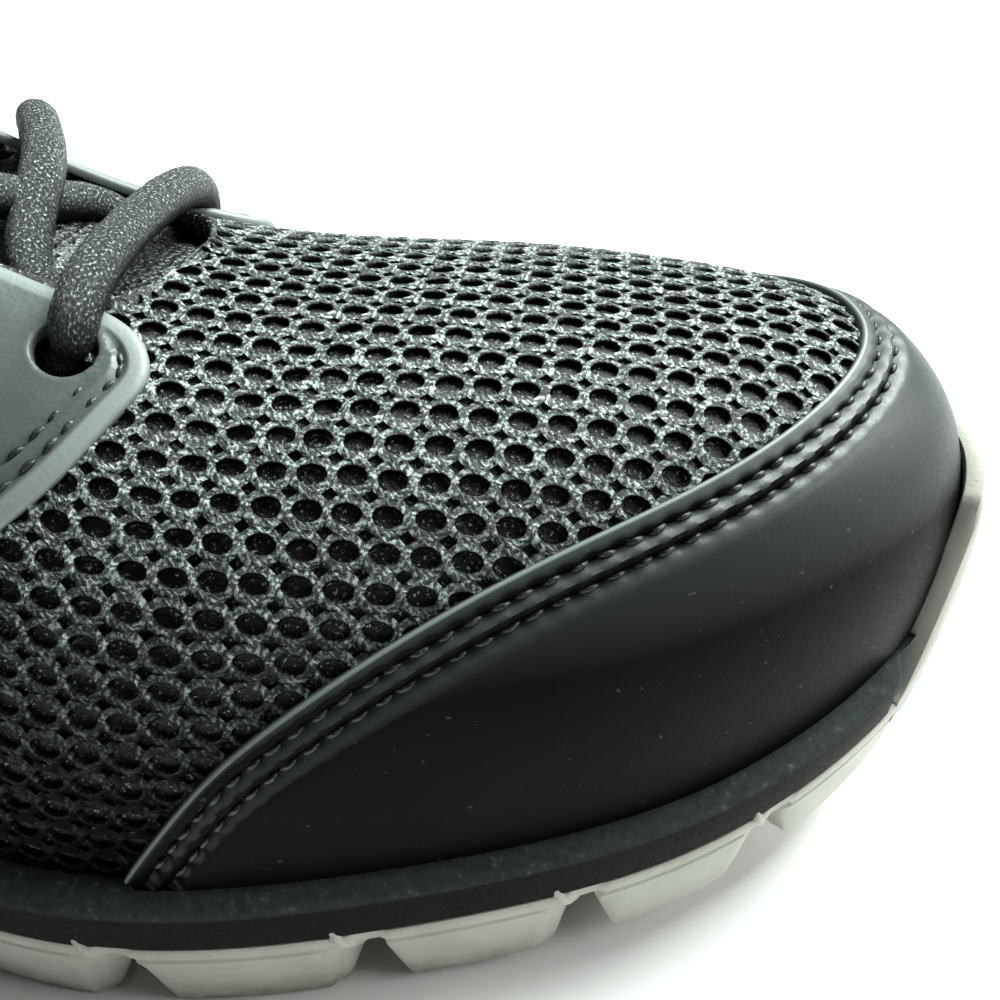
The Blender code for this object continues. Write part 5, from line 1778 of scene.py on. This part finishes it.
def make_tongue(look):
    """The padded tongue under the throat, quilted across, with a bound edge."""
    front, tip = (THROAT_FRONT + 0.006) / LENGTH, TONGUE_TIP / LENGTH
    across = np.sin(np.linspace(-1, 1, 49) * math.pi / 2)
    back = np.linspace(0, 1, 110)
    ends = tip + 0.0045 / LENGTH * (1 - across**2)
    share = front + (ends[None, :] - front) * back[:, None]
    half = 0.022 + 0.007 * smooth_step(back * 1.3)
    half = half * (1 - 0.30 * smooth_step((back - 0.86) / 0.14) ** 2)
    turn, side, rise = place_across(share, half[:, None] * across[None, :])
    beside = smooth_step((np.abs(across) - 0.35) / 0.3)
    clear = WALL + 1.2 * MM + COLLAR_PAD * smooth_step((COLLAR_SHOWN - share) / 0.10) * beside
    clear = clear + 6.0 * MM * smooth_step((back - 0.55) / 0.4)[:, None] * (1 - across**2)
    rim = smooth_step((np.abs(across) - 0.90) / 0.03)[None, :] + smooth_step((back - 0.955) / 0.012)[:, None]
    rim = np.clip(rim, 0, 1)
    quilt = np.abs(np.sin(back * math.pi * 9))[:, None] ** 0.5 * 0.8 * MM * (1 - rim)
    thick = 4.8 * MM * (1 - 0.5 * np.abs(across) ** 4)[None, :] * np.ones_like(clear)
    high = skin(turn, side, rise, -clear - 0.7 * MM + quilt + 0.35 * MM * rim)
    low = skin(turn, side, rise, -clear - thick)
    middle = high * 0.5 + low * 0.5
    for edge in (0, -1):
        high[edge] = high[edge] * 0.7 + middle[edge] * 0.3
        low[edge] = low[edge] * 0.7 + middle[edge] * 0.3
    grid = np.concatenate([high, middle[:, -1:], low[:, ::-1], middle[:, :1]], 1)
    marks = np.concatenate([rim, rim[:, -1:], np.ones_like(rim), rim[:, :1]], 1)
    piece = grid_piece("tongue_pad", grid, look, 60.0, marks, strip=True)
    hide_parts("tongue")


def tongue_mesh():
    """Shiny dark mesh of the tongue, its yarn flecked pale as painted glints, its bound edge and back plain lining."""
    made, tree, shader = new_material("black tongue mesh", Roughness=0.34, Specular_IOR_Level=0.7)
    place = object_place(tree)
    cells = node(tree, "TexVoronoi", links={"Vector": place, "Scale": 1 / 0.0013, "Randomness": 0.45})
    strand = spread(tree, cells.outputs["Distance"], 0.25, 0.55)
    grain = noise(tree, place, 0.00035, 3.0, 0.6)
    # painted glints: the yarn's grain peaks go pale
    yarn = ramp(tree, grain, ((0.44, "#050606"), (0.54, "#1b201e"), (0.64, "#aab5b0")))
    tone = blend_colours(tree, strand, "#090a0a", yarn)
    give(tree, shader, "Base Color", blend_colours(tree, cut_edge(tree), tone, "#1a1c1c"))
    first = bump(tree, shader, strand, 0.0003)
    bump(tree, shader, grain, 0.00014, 1.0, first)
    return made


def punch_shell(shell):
    """Cuts the eyelets through the upper with one round punch a hole."""
    punches = []
    for _, side in SIDES:
        for turn, rise in eyelet_places():
            place = skin(turn, side, rise, 0.0) - CENTRE
            out = Vector(skin(turn, side, rise, 1 * MM) - CENTRE - place)
            bpy.ops.object.select_all(action="DESELECT")
            turned = out.to_track_quat("Z", "Y").to_euler()
            bpy.ops.mesh.primitive_cylinder_add(
                vertices=24, radius=EYELET_RADIUS, depth=16 * MM, location=Vector(place), rotation=turned
            )
            punches.append(bpy.context.object)
    for punch in punches:
        punch.select_set(True)
    bpy.context.view_layer.objects.active = punches[0]
    bpy.ops.object.join()
    cut = shell.modifiers.new("eyelets", "BOOLEAN")
    cut.operation = "DIFFERENCE"
    cut.solver = "EXACT"
    cut.object = punches[0]
    bpy.ops.object.select_all(action="DESELECT")
    bpy.context.view_layer.objects.active = shell
    bpy.ops.object.modifier_apply(modifier=cut.name)
    bpy.data.objects.remove(punches[0], do_unlink=True)


# Stage


def add_light(name, place, target, size, energy, colour):
    made = bpy.data.objects.new(name, bpy.data.lights.new(name, "AREA"))
    made.data.shape = "RECTANGLE"
    made.data.size, made.data.size_y = size
    made.data.energy = energy
    made.data.color = linear(colour)[:3]
    made.location = place
    made.rotation_euler = (Vector(target) - Vector(place)).to_track_quat("-Z", "Y").to_euler()
    bpy.context.scene.collection.objects.link(made)


def add_stage():
    """A plain pale floor, a pale surround, a soft key light behind the shoe and a small one ahead of its toe."""
    bpy.ops.object.select_all(action="DESELECT")
    bpy.ops.mesh.primitive_plane_add(size=6.0, location=(0, 0, 0))
    floor = bpy.context.object
    floor.name = "floor"
    made, tree, shader = new_material("pale paper floor", Roughness=0.9)
    paper = ramp(tree, noise(tree, object_place(tree), 0.5), ((0.3, "#f4f4f3"), (0.7, "#f8f8f7")))
    give(tree, shader, "Base Color", paper)
    floor.data.materials.append(made)
    world = bpy.data.worlds.new("studio")
    world.use_nodes = True
    sky = world.node_tree
    toward = axis_of(sky, node(sky, "TexCoord").outputs["Generated"], "Y")
    shade = spread(sky, toward, -0.5, 0.7, 0.05, 0.36)
    sky.links.new(shade, sky.nodes["Background"].inputs["Strength"])
    sky.nodes["Background"].inputs["Color"].default_value = linear("#f4f6f5")
    bpy.context.scene.world = world
    bpy.context.scene.view_settings.view_transform = "Standard"
    add_light("key", (0.40, 0.46, 0.84), (0.06, 0, 0.03), (0.7, 0.5), 29.0, "#f2fbf7")
    add_light("toe_light", (0.80, 0.02, 0.42), (0.12, 0, 0.04), (0.4, 0.4), 3.4, "#ffffff")


def main():
    add_camera()
    yarn = net_yarn()
    leather = guard_leather()
    light = light_foam()
    make_band(dark_foam())
    make_lugs(light)
    make_bumper(light)
    make_fins(light)
    make_insole(lining_cloth())
    punch_shell(make_shell(spacer_backing()))
    make_vamp_net(yarn)
    make_quarter_net(yarn)
    sewn = make_guard(leather)
    film = moulded_film()
    for word, side in SIDES:
        sewn += make_eyestay(word, side, film)
    make_stitches(sewn, sewing_thread())
    make_tongue(tongue_mesh())
    lace = woven_lace()
    make_lacing(lace)
    make_bow(lace)
    add_stage()


main()
